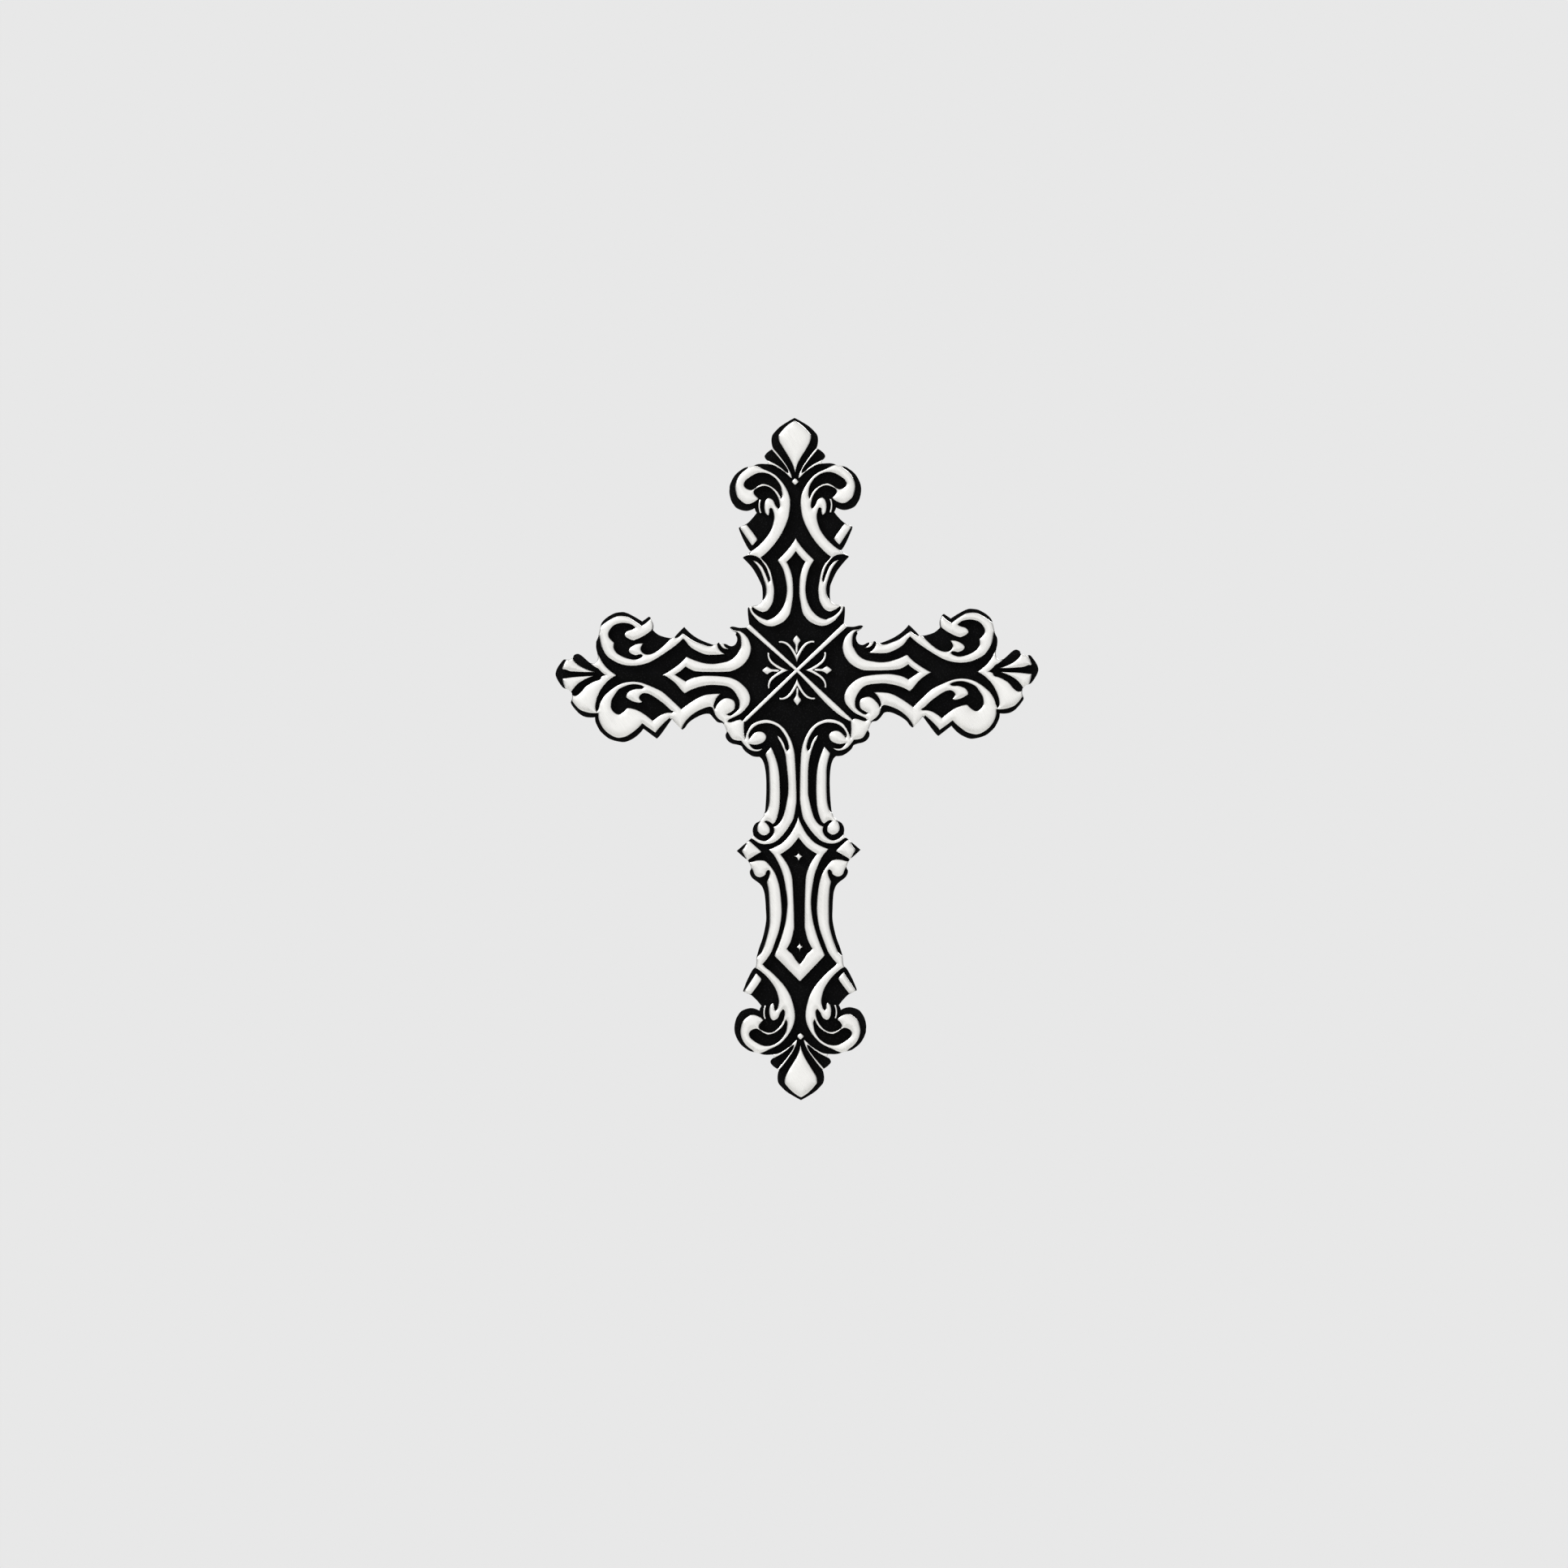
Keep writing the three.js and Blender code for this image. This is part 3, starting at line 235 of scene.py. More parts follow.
class FlatPlan:
    """The front of the frame's solid laid flat: its points, and the borders where its zones meet.

    A border is a directed edge with its higher zone on the left, and it keeps both zones.
    """

    DECIMALS = 4
    OVERHANG = 2e-3
    SLIT = 0.03
    LEVEL_TOLERANCE = 1e-3

    def __init__(self, solid: bpy.types.Object, sizes: CastingSizes) -> None:
        """Reads the plan off the solid.

        Args:
            solid: the CAD node, whose mesh is read and left as it is.
            sizes: the casting's levels.
        """
        corners, faces, zones = self._front_faces(solid.data, sizes)
        zone_of = {side: zone for face, zone in zip(faces, zones) for side in sides_of(face)}
        edges = [(a, b) for (a, b), zone in zone_of.items() if zone_of.get((b, a)) != zone]
        points, _, tiles, _, _, _ = delaunay_2d_cdt(corners, edges, [], 0, WELD)
        self.points: list[Point] = [(p.x, p.y) for p in points]
        self._front = BVHTree.FromPolygons([p.to_3d() for p in corners], faces)
        self._front_zones = zones
        left_of: dict[Edge, Zone] = {}
        for tile in tiles:
            left_of.update(dict.fromkeys(sides_of(tile), self._zone_of([points[i] for i in tile])))
        self.borders: dict[Edge, tuple[Zone, Zone]] = {
            (a, b): (zone, left_of.get((b, a), Zone.OUTSIDE))
            for (a, b), zone in left_of.items()
            if zone > left_of.get((b, a), Zone.OUTSIDE)
        }

    def _zone_at(self, spot: Vector) -> Zone:
        """The zone of the front face under a spot."""
        _, _, face, gap = self._front.find_nearest(spot.to_3d())
        return self._front_zones[face] if gap < self.OVERHANG else Zone.OUTSIDE

    def _zone_of(self, corners: list[Vector]) -> Zone:
        """The zone of a tile.

        Args:
            corners: the tile's corners.

        Returns:
            Its zone. A hair-thin slit between faces of the front counts as the higher one of them.
        """
        centre = sum(corners, Vector((0.0, 0.0))) / len(corners)
        zone = self._zone_at(centre)
        if zone == Zone.OUTSIDE:
            longest = max((b - a for a, b in sides_of(corners)), key=lambda side: side.length)
            across = longest.orthogonal().normalized() * self.SLIT
            beside = [self._zone_at(centre + across), self._zone_at(centre - across)]
            if Zone.OUTSIDE not in beside:
                return max(beside)
        return zone

    def _front_faces(
        self, mesh: bpy.types.Mesh, sizes: CastingSizes
    ) -> tuple[list[Vector], list[tuple[int, ...]], list[Zone]]:
        """Picks the level faces of the front.

        Args:
            mesh: the solid's loose triangles, in metres.
            sizes: the casting's levels.

        Returns:
            The corners in millimetres, the faces as rows of corners, and each face's zone.
        """
        places = np.array([tuple(vertex.co) for vertex in mesh.vertices]) / MM
        faces = np.array([tuple(face.vertices) for face in mesh.polygons])
        corners, welded = np.unique(np.round(places[:, [0, 2]], self.DECIMALS), axis=0, return_inverse=True)
        welded = welded.reshape(-1)
        depths = -places[faces][:, :, 1]
        rows: list[tuple[int, ...]] = []
        zones: list[Zone] = []
        for zone, level in ((Zone.GROUND, sizes.ground_level), (Zone.RAISED, sizes.top_level)):
            level_faces = welded[faces[(np.abs(depths - level) < self.LEVEL_TOLERANCE).all(1)]]
            rows += [tuple(int(i) for i in row) for row in level_faces]
            zones += [zone] * len(level_faces)
        return [Vector(p) for p in corners], rows, zones

    def joints(self) -> set[int]:
        """Finds where the borders end or meet.

        Returns:
            The points with other than two borders, or with two that part different zones.
        """
        met: dict[int, list[tuple[Zone, Zone]]] = defaultdict(list)
        for (a, b), zones in self.borders.items():
            met[a].append(zones)
            met[b].append(zones)
        return {point for point, pairs in met.items() if len(pairs) != 2 or pairs[0] != pairs[1]}

    def chains(self) -> list[list[int]]:
        """Walks the borders.

        Returns:
            Rows of points from joint to joint, and then round each closed loop, where the first comes again.
        """
        onward: dict[int, list[int]] = defaultdict(list)
        for a, b in self.borders:
            onward[a].append(b)
        joints = self.joints()
        unused = set(self.borders)
        found: list[list[int]] = []
        for start, following in sorted(self.borders, key=lambda edge: (edge[0] not in joints, edge)):
            if (start, following) not in unused:
                continue
            chain = [start]
            while True:
                unused.discard((start, following))
                chain.append(following)
                if following in joints or following == chain[0]:
                    break
                start, following = following, onward[following][0]
            found.append(chain)
        return found


class SmoothPlan:
    """The plan's borders drawn without facets, through the same points, with their corners kept."""

    CORNER = math.radians(30)
    CORNER_MARGIN = 1.5
    CLOSE = 0.03

    def __init__(self, plan: FlatPlan, sizes: CastingSizes) -> None:
        """Draws every border of the plan.

        Args:
            plan: the faceted plan.
            sizes: the casting's sizes, with the steps of a drawn line.
        """
        self.sizes = sizes
        self.plan = plan
        self.points: list[Point] = []
        self.edges: list[Edge] = []
        self.zones: list[tuple[Zone, Zone]] = []
        self._placed: dict[int, int] = {}
        self._spokes: dict[int, list[int]] = defaultdict(list)
        for a, b in plan.borders:
            self._spokes[a].append(b)
            self._spokes[b].append(a)
        for chain in plan.chains():
            self._draw(self._without_close_points(chain), plan.borders[chain[0], chain[1]])

    def _without_close_points(self, chain: list[int]) -> list[int]:
        """Thins a chain.

        Args:
            chain: its points.

        Returns:
            Both ends, and the inner points that stand well apart from the last one kept.
        """
        kept = [chain[0]]
        for point in chain[1:-1]:
            if math.dist(self.plan.points[point], self.plan.points[kept[-1]]) >= self.CLOSE:
                kept.append(point)
        if len(kept) > 2 and math.dist(self.plan.points[chain[-1]], self.plan.points[kept[-1]]) < self.CLOSE:
            kept.pop()
        return [*kept, chain[-1]]

    def _slack(self, length: float) -> float:
        """How far a facet of this length may lie off the true line's direction at its ends."""
        return 4 * self.sizes.facet_error / length

    def _turn(self, before: np.ndarray, here: np.ndarray, after: np.ndarray) -> float:
        """The turn at a point, in radians, left turns counted positive."""
        a, b = here - before, after - here
        return math.atan2(a[0] * b[1] - a[1] * b[0], a[0] * b[0] + a[1] * b[1])

    def _heading(self, before: np.ndarray, here: np.ndarray, after: np.ndarray) -> float | None:
        """The true line's direction at a point.

        Args:
            before: the point before it.
            here: the point.
            after: the point after it.

        Returns:
            The direction in radians, or None where the line has a corner.
        """
        arriving = here - before
        long_in, long_out = float(np.hypot(*arriving)), float(np.hypot(*(after - here)))
        turn = self._turn(before, here, after)
        allowed = self._slack(long_in) + self._slack(long_out)
        if abs(turn) > max(self.CORNER, self.CORNER_MARGIN * allowed):
            return None
        share = abs(turn) * long_in / (long_in + long_out)
        share = max(min(share, self._slack(long_in)), abs(turn) - self._slack(long_out))
        share = min(share, abs(turn))
        return math.atan2(arriving[1], arriving[0]) + math.copysign(share, turn)

    def _neighbour(self, joint: int, inner: int) -> np.ndarray | None:
        """Finds where a line goes straight on beyond a joint.

        Args:
            joint: the joint, as a point of the plan.
            inner: the line's point before it.

        Returns:
            The point beyond, or None where every way on turns a corner.
        """
        before, here = (np.array(self.plan.points[i]) for i in (inner, joint))
        beyond = [np.array(self.plan.points[i]) for i in sorted(self._spokes[joint])]
        ways = [spot for spot in beyond if math.dist(spot, here) > self.CLOSE]
        straight = min(ways, key=lambda spot: abs(self._turn(before, here, spot)), default=before)
        return straight if abs(self._turn(before, here, straight)) < self.CORNER else None

    def _draw(self, chain: list[int], zones: tuple[Zone, Zone]) -> None:
        """Draws one chain.

        Args:
            chain: the points that it runs through.
            zones: the zones on its left and on its right.
        """
        track = [np.array(self.plan.points[i]) for i in chain]
        if chain[0] == chain[-1]:
            behind, ahead = track[-2], track[1]
        else:
            behind, ahead = self._neighbour(chain[0], chain[1]), self._neighbour(chain[-1], chain[-2])
        padded = [behind, *track, ahead]
        headings = [
            None if a is None or c is None else self._heading(a, b, c)
            for a, b, c in zip(padded, padded[1:], padded[2:])
        ]
        for k, (start, end) in enumerate(zip(track, track[1:])):
            inner = self._inner_points(start, end, headings[k], headings[k + 1])
            row = [self._place(chain[k]), *(self._add(point) for point in inner), self._place(chain[k + 1])]
            self.edges += list(zip(row, row[1:]))
            self.zones += [zones] * (len(row) - 1)

    def _inner_points(
        self, start: np.ndarray, end: np.ndarray, leaving: float | None, arriving: float | None
    ) -> list[Point]:
        """Draws the true line over one facet.

        Args:
            start: where the facet starts.
            end: where it ends.
            leaving: the line's direction at the start, or None at a corner.
            arriving: the line's direction at the end, or None at a corner.

        Returns:
            Points between the ends, on a cubic with those directions. At a corner the bend mirrors the other.
        """
        length, course = math.dist(start, end), math.atan2(*(end - start)[::-1])
        limit = self._slack(length)
        ways = (leaving, arriving)
        bends = [None if way is None else math.remainder(way - course, math.tau) for way in ways]
        known = [bend for bend in bends if bend is not None]
        mirrored = -max(-limit, min(limit, known[0])) if known else 0.0
        out, into = (mirrored if bend is None else bend for bend in bends)
        steps = max(length / self.sizes.longest_step, (abs(out) + abs(into)) / self.sizes.turn_per_step)
        steps = max(1, math.ceil(min(steps, length / self.sizes.shortest_step)))
        away, home = (length * np.array([math.cos(a), math.sin(a)]) for a in (course + out, course + into))
        found = []
        for step in range(1, steps):
            gone, left = step / steps, 1 - step / steps
            near_start = left**2 * ((1 + 2 * gone) * start + gone * away)
            spot = near_start + gone**2 * ((1 + 2 * left) * end - left * home)
            found.append((float(spot[0]), float(spot[1])))
        return found

    def _place(self, index: int) -> int:
        """Where a point of the plan stands in the drawn points."""
        if index not in self._placed:
            self._placed[index] = self._add(self.plan.points[index])
        return self._placed[index]

    def _add(self, point: Point) -> int:
        """Adds a point and returns its place."""
        self.points.append(point)
        return len(self.points) - 1


@dataclass(frozen=True)
class Way:
    """A way from a point of the outline into the raised work, with half the work's width along it."""

    start: int
    direction: np.ndarray
    stretch: float
    half_width: float


class RaisedPoints:
    """Points inside the raised work: rings that follow its outline, and a row along its ridges.

    The outline's rounding is narrower where the work itself is narrow, so that fine ribs keep a level top.
    """

    # An outward turn sharper than this gets a fan of ways, and a ring's points stand apart by a share of its
    # distance. Rings end below the ridge, and points nearer to the outline than the closest are left out.
    SHARP_TURN = math.radians(24)
    SPACING = 0.32
    BELOW_RIDGE = 0.86
    CLOSEST = 0.012

    # A circle has room when nothing of the outline lies nearer to its middle than this share of its radius
    TOUCH = 0.97
    TRIES = 12

    # The rounding is at most this share of half the work's widest width within reach along the outline
    ROUNDED_SHARE = 0.4
    REACH = 0.4
    LEAST_COSINE = 0.05

    def __init__(self, drawn: SmoothPlan, sizes: CastingSizes) -> None:
        """Fills the raised work.

        Args:
            drawn: the smooth plan.
            sizes: the casting's sizes, with the rings' distances.
        """
        self.points: list[Point] = []
        self.sizes = sizes
        self._outline = [e for e, z in zip(drawn.edges, drawn.zones) if z[0] == Zone.RAISED]
        self._spots = np.array(drawn.points)
        self._ribbon = self._upright_ribbon()
        ways = self._ways_inwards()
        self._roundings = self._local_roundings(ways)
        distances = [self._distances(way) for way in ways]
        for ring in zip(*distances):
            self._add_ring(ways, ring)

    def _upright_ribbon(self) -> BVHTree:
        """The outline as an upright ribbon, which gives the distance to it from any spot in its plane."""
        low = [Vector((x, y, -1.0)) for x, y in self._spots]
        high = [Vector((x, y, 1.0)) for x, y in self._spots]
        count = len(self._spots)
        return BVHTree.FromPolygons(low + high, [(a, b, b + count, a + count) for a, b in self._outline])

    def _ways_inwards(self) -> list[Way]:
        """Finds the ways inwards from each point of the outline.

        Returns:
            One way for each point, or a fan of them where the outline turns outwards.
        """
        into = {b: a for a, b in self._outline}
        found = []
        for here, after in self._outline:
            if here not in into:
                continue
            a, b, c = (self._spots[i] for i in (into[here], here, after))
            first = math.atan2(*(b - a)[::-1])
            turn = math.remainder(math.atan2(*(c - b)[::-1]) - first, math.tau)
            if turn > -self.SHARP_TURN:
                angles, stretch = [first + turn / 2], 1 / max(math.cos(turn / 2), self.LEAST_COSINE)
            else:
                fan = math.ceil(-turn / self.SHARP_TURN)
                angles, stretch = [first + turn * k / fan for k in range(fan + 1)], 1.0
            for angle in angles:
                direction = np.array([-math.sin(angle), math.cos(angle)])
                found.append(Way(here, direction, stretch, self._half_width(b, direction)))
        return found

    def _half_width(self, start: np.ndarray, direction: np.ndarray) -> float:
        """Half the work's width along a way, as the radius of the circle that touches the outline twice.

        Args:
            start: the point of the outline.
            direction: the way inwards.

        Returns:
            The radius in millimetres, or somewhat more than the crown's span where the work is wider.
        """
        radius = self.sizes.crown_span / self.BELOW_RIDGE + self.CLOSEST
        for _ in range(self.TRIES):
            centre = start + radius * direction
            touched, _, _, gap = self._ribbon.find_nearest(Vector((*centre, 0.0)))
            apart = np.array(touched[:2]) - start
            along = float(apart @ direction)
            if gap >= radius * self.TOUCH or along <= 0:
                break
            radius = float(apart @ apart) / (2 * along)
        return radius

    def _local_roundings(self, ways: list[Way]) -> dict[int, float]:
        """Widens the rounding with the work.

        Args:
            ways: the ways inwards, which know half the work's width.

        Returns:
            The rounding's width at each point of the outline, from the widths a little way along it.
        """
        onward = dict(self._outline)
        back = {b: a for a, b in self._outline}
        narrowest: dict[int, float] = {}
        for way in ways:
            narrowest[way.start] = min(way.half_width, narrowest.get(way.start, way.half_width))
        found = {}
        for here, widest in narrowest.items():
            for walk in (onward, back):
                point, gone = here, 0.0
                while point in walk and gone < self.REACH:
                    gone += math.dist(self._spots[point], self._spots[walk[point]])
                    point = walk[point]
                    widest = max(widest, narrowest.get(point, 0.0))
            found[here] = min(self.sizes.edge_radius, self.ROUNDED_SHARE * widest)
        return found

    def _distances(self, way: Way) -> list[float | None]:
        """Finds where the rings and the ridge cross a way.

        Args:
            way: the way inwards.

        Returns:
            The distance of each ring, and last of the ridge. None where it has no point there.
        """
        rings = self.sizes.rings(self._roundings[way.start])
        reached = [d if self.CLOSEST < d < self.BELOW_RIDGE * way.half_width else None for d in rings]
        ridge = way.half_width if self.CLOSEST < way.half_width < self.sizes.crown_span else None
        return [*reached, ridge]

    def _add_ring(self, ways: list[Way], distances: Sequence[float | None]) -> None:
        """Adds the points of one ring, and none closer together than the ring asks for.

        Args:
            ways: the ways inwards from the outline.
            distances: the ring's distance along each.
        """
        cell = self.SPACING * max((d for d in distances if d is not None), default=1.0)
        taken: dict[tuple[int, int], list[Point]] = defaultdict(list)
        for way, distance in zip(ways, distances):
            if distance is None:
                continue
            x, y = (float(v) for v in self._spots[way.start] + distance * way.stretch * way.direction)
            if self._ribbon.find_nearest(Vector((x, y, 0.0)))[3] < distance * self.TOUCH:
                continue
            column, row = int(x // cell), int(y // cell)
            near = [p for i in (-1, 0, 1) for j in (-1, 0, 1) for p in taken[column + i, row + j]]
            if all(math.dist(p, (x, y)) >= self.SPACING * distance for p in near):
                taken[column, row].append((x, y))
                self.points.append((x, y))

    def rounding_at(self, spot: Point) -> float:
        """Finds the rounding that belongs to a spot.

        Args:
            spot: a place in the plan.

        Returns:
            The width of the rounding on the nearest part of the outline, in millimetres.
        """
        place, _, nearest, _ = self._ribbon.find_nearest(Vector((*spot, 0.0)))
        a, b = self._outline[nearest]
        share = math.dist(place[:2], self._spots[a]) / math.dist(self._spots[b], self._spots[a])
        start, end = (self._roundings.get(i, self.sizes.edge_radius) for i in (a, b))
        return start + (end - start) * share


class ReliefMesh:
    """The closed mesh of the cross, with its raised work still flat at the foot of its rounding."""

    def __init__(self, drawn: SmoothPlan, raised: RaisedPoints, sizes: CastingSizes) -> None:
        """Joins the faces.

        Args:
            drawn: the smooth plan.
            raised: points inside the raised work, and its roundings.
            sizes: the casting's sizes.
        """
        flat_level = sizes.top_level - sizes.crown_height
        self._levels = {Zone.OUTSIDE: 0.0, Zone.GROUND: sizes.ground_level, Zone.RAISED: flat_level}
        self._raised = raised
        self._copies: dict[tuple[int, Zone], int] = {}
        self._spots: list[Point] = []
        self.places: list[tuple[float, float, float]] = []
        self.lifted: list[bool] = []
        self.roundings: list[float] = []
        self.faces: list[tuple[int, ...]] = []
        self.finishes: list[Finish] = []
        self.level: list[bool] = []
        self.rim: list[Edge] = []
        self._add_front(drawn)

    def _copy(self, point: int, level: Zone) -> int:
        """Finds the vertex of a plan point at a level, and makes it where there is none.

        Args:
            point: the plan point.
            level: the zone whose level is meant.

        Returns:
            The vertex's place among the places.
        """
        key = (point, level)
        if key not in self._copies:
            x, z = self._spots[point]
            self._copies[key] = len(self.places)
            self.places.append((x * MM, -self._levels[level] * MM, z * MM))
            lifted = level == Zone.RAISED
            self.lifted.append(lifted)
            self.roundings.append(self._raised.rounding_at((x, z)) * MM if lifted else 0.0)
        return self._copies[key]

    def _add_face(self, corners: Iterable[tuple[int, Zone]], finish: Finish, level: bool = False) -> None:
        """Adds a face.

        Args:
            corners: its plan points with their levels.
            finish: its finish.
            level: whether it is part of a flat surface.
        """
        self.faces.append(tuple(self._copy(*corner) for corner in corners))
        self.finishes.append(finish)
        self.level.append(level)

    def _add_front(self, drawn: SmoothPlan) -> None:
        """Adds the raised work and the ground, then the walls and the back.

        Args:
            drawn: the smooth plan.
        """
        corners = [Vector(p) for p in (*drawn.points, *self._raised.points)]
        points, edges, tiles, _, edge_origins, _ = delaunay_2d_cdt(corners, drawn.edges, [], 0, WELD)
        self._spots = [(p.x, p.y) for p in points]
        sides: dict[Edge, Zone] = {}
        for (a, b), origins in zip(edges, edge_origins):
            if origins:
                start, end = drawn.edges[origins[0]]
                along = (corners[end] - corners[start]).dot(points[b] - points[a])
                left, right = drawn.zones[origins[0]]
                sides[a, b], sides[b, a] = (left, right) if along > 0 else (right, left)
        zones = self._spread(tiles, sides)
        for tile, zone in zip(tiles, zones):
            if zone != Zone.OUTSIDE:
                finish = Finish.RELIEF if zone == Zone.RAISED else Finish.PAINT
                self._add_face([(point, zone) for point in tile], finish, level=zone == Zone.GROUND)
        self._add_walls(tiles, zones)

    def _spread(self, tiles: list[list[int]], sides: dict[Edge, Zone]) -> list[Zone]:
        """Gives every tile its zone, from the borders inwards.

        Args:
            tiles: rows of points, each anticlockwise.
            sides: the zone on the left of each directed border.

        Returns:
            One zone for each tile.
        """
        owner = {side: k for k, tile in enumerate(tiles) for side in sides_of(tile)}
        zones: list[Zone | None] = [None] * len(tiles)
        waiting: deque[int] = deque()
        for edge, zone in sides.items():
            tile = owner.get(edge)
            if tile is not None and zones[tile] is None:
                zones[tile] = zone
                waiting.append(tile)
        while waiting:
            tile = waiting.popleft()
            for a, b in sides_of(tiles[tile]):
                beyond = owner.get((b, a))
                if (a, b) not in sides and beyond is not None and zones[beyond] is None:
                    zones[beyond] = zones[tile]
                    waiting.append(beyond)
        return [Zone.OUTSIDE if zone is None else zone for zone in zones]

    def _add_walls(self, tiles: list[list[int]], zones: list[Zone]) -> None:
        """Adds the walls where zones meet, and the back.

        Args:
            tiles: rows of points, each anticlockwise.
            zones: each tile's zone.
        """
        left_of = {side: zone for tile, zone in zip(tiles, zones) for side in sides_of(tile)}
        silhouette: list[Edge] = []
        for (a, b), zone in left_of.items():
            beyond = left_of.get((b, a), Zone.OUTSIDE)
            if zone <= beyond:
                continue
            if zone == Zone.RAISED:
                self.rim.append((self._copy(a, Zone.RAISED), self._copy(b, Zone.RAISED)))
                self._add_wall(a, b, Zone.RAISED, Zone.GROUND)
            if beyond == Zone.OUTSIDE:
                self._add_wall(a, b, Zone.GROUND, Zone.OUTSIDE)
                silhouette.append((a, b))
        self._add_back(silhouette)

    def _add_wall(self, a: int, b: int, high: Zone, low: Zone) -> None:
        """Adds the upright face under a border whose higher zone is on its left."""
        self._add_face([(a, high), (a, low), (b, low), (b, high)], Finish.PAINT)

    def _add_back(self, silhouette: list[Edge]) -> None:
        """Adds the flat back.

        Args:
            silhouette: the casting's outer borders.
        """
        used = sorted({point for edge in silhouette for point in edge})
        place = {point: k for k, point in enumerate(used)}
        rows = [(place[a], place[b]) for a, b in silhouette]
        corners = [Vector(self._spots[point]) for point in used]
        _, _, tiles, origins, _, _ = delaunay_2d_cdt(corners, rows, [], 1, WELD)
        for tile in tiles:
            corners_here = [(used[origins[k][0]], Zone.OUTSIDE) for k in reversed(tile)]
            self._add_face(corners_here, Finish.BACK, level=True)

    def make(self, name: str) -> bpy.types.Object:
        """Makes the object.

        Args:
            name: the object's name.

        Returns:
            The object, with the attributes that the rounding reads.
        """
        mesh = bpy.data.meshes.new(name)
        mesh.from_pydata(self.places, [], self.faces, shade_flat=False)
        rim = {tuple(sorted(edge)) for edge in self.rim}
        for attribute, kind, domain, values in (
            ("sharp_face", "BOOLEAN", "FACE", self.level),
            ("lifted", "BOOLEAN", "POINT", self.lifted),
            ("rounding", "FLOAT", "POINT", self.roundings),
            ("finish", "INT", "FACE", [int(finish) for finish in self.finishes]),
            ("rim", "BOOLEAN", "EDGE", [edge in rim for edge in mesh.edge_keys]),
        ):
            mesh.attributes.new(attribute, kind, domain).data.foreach_set("value", values)
        return add_object(name, mesh)


class CrownTree:
    """Geometry nodes that round the raised work over, by each point's distance from the outline."""

    def __init__(self, materials: Mapping[Finish, bpy.types.Material]) -> None:
        """Builds the tree.

        Args:
            materials: the material of each finish.
        """
        self.tree = bpy.data.node_groups.new("rounded_relief", "GeometryNodeTree")
        self.sockets = {
            name: self.tree.interface.new_socket(name, in_out="INPUT", socket_type=kind).identifier
            for name, kind in (
                ("Casting", "NodeSocketGeometry"),
                ("Crown height", "NodeSocketFloat"),
                ("Crown span", "NodeSocketFloat"),
            )
        }
        self.tree.interface.new_socket("Casting", in_out="OUTPUT", socket_type="NodeSocketGeometry")
        add = partial(add_node, self.tree)
        given = add("NodeGroupInput").outputs
        casting = add("GeometryNodeRealizeInstances", {0: self._rounded(add, given)})
        finish_of = add("GeometryNodeInputNamedAttribute", {"Name": "finish"}, data_type="INT")
        for finish, material in materials.items():
            pair = {2: finish_of, 3: int(finish)}
            chosen = add("FunctionNodeCompare", pair, data_type="INT", operation="EQUAL")
            casting = add(
                "GeometryNodeSetMaterial", {"Geometry": casting, "Selection": chosen, "Material": material}
            )
        add("NodeGroupOutput", {0: casting})

    def _rounded(self, add: AddNode, given: bpy.types.NodeOutputs) -> bpy.types.Node:
        """Moves the raised points forward: a quarter round at the edge and a low crown inside it.

        Args:
            add: what adds nodes to the tree.
            given: the tree's inputs.

        Returns:
            The node whose output is the rounded casting.
        """
        rim, lifted, rounding = (
            add("GeometryNodeInputNamedAttribute", {"Name": name}, data_type=kind)
            for name, kind in (("rim", "BOOLEAN"), ("lifted", "BOOLEAN"), ("rounding", "FLOAT"))
        )
        outline = add(
            "GeometryNodeSeparateGeometry", {"Geometry": given["Casting"], "Selection": rim}, domain="EDGE"
        )
        away = add("GeometryNodeProximity", {0: outline}, target_element="EDGES").outputs["Distance"]
        shares = []
        for reach in (rounding, given["Crown span"]):
            left = add("ShaderNodeMapRange", {"Value": away, "From Max": reach, "To Min": 1.0, "To Max": 0.0})
            square = add("ShaderNodeMath", {0: left, 1: left}, operation="MULTIPLY")
            shares.append(add("ShaderNodeMath", {0: 1.0, 1: square}, operation="SUBTRACT"))
        edge, dome = shares
        arc = add("ShaderNodeMath", {0: edge}, operation="SQRT")
        below = add("ShaderNodeMath", {0: 1.0, 1: arc}, operation="SUBTRACT")
        drop = add("ShaderNodeMath", {0: below, 1: rounding}, operation="MULTIPLY")
        rise = add("ShaderNodeMath", {0: dome, 1: given["Crown height"]}, operation="MULTIPLY")
        backwards = add("ShaderNodeMath", {0: drop, 1: rise}, operation="SUBTRACT")
        return add(
            "GeometryNodeSetPosition",
            {
                "Geometry": given["Casting"],
                "Selection": lifted,
                "Offset": add("ShaderNodeCombineXYZ", {"Y": backwards}),
            },
        )

    def apply(self, piece: bpy.types.Object, sizes: CastingSizes) -> bpy.types.Object:
        """Rounds the piece.

        Args:
            piece: the casting with its flat raised work.
            sizes: the sizes of the rounding.

        Returns:
            A plain mesh object of the same name.
        """
        modifier = piece.modifiers.new("rounding", "NODES")
        modifier.node_group = self.tree
        modifier[self.sockets["Crown height"]] = sizes.crown_height * MM
        modifier[self.sockets["Crown span"]] = sizes.crown_span * MM
        graph = bpy.context.evaluated_depsgraph_get()
        mesh = bpy.data.meshes.new_from_object(piece.evaluated_get(graph), depsgraph=graph)
        name = piece.name
        bpy.data.objects.remove(piece)
        for attribute in ("lifted", "rounding", "rim", "finish"):
            mesh.attributes.remove(mesh.attributes[attribute])
        return add_object(name, mesh)


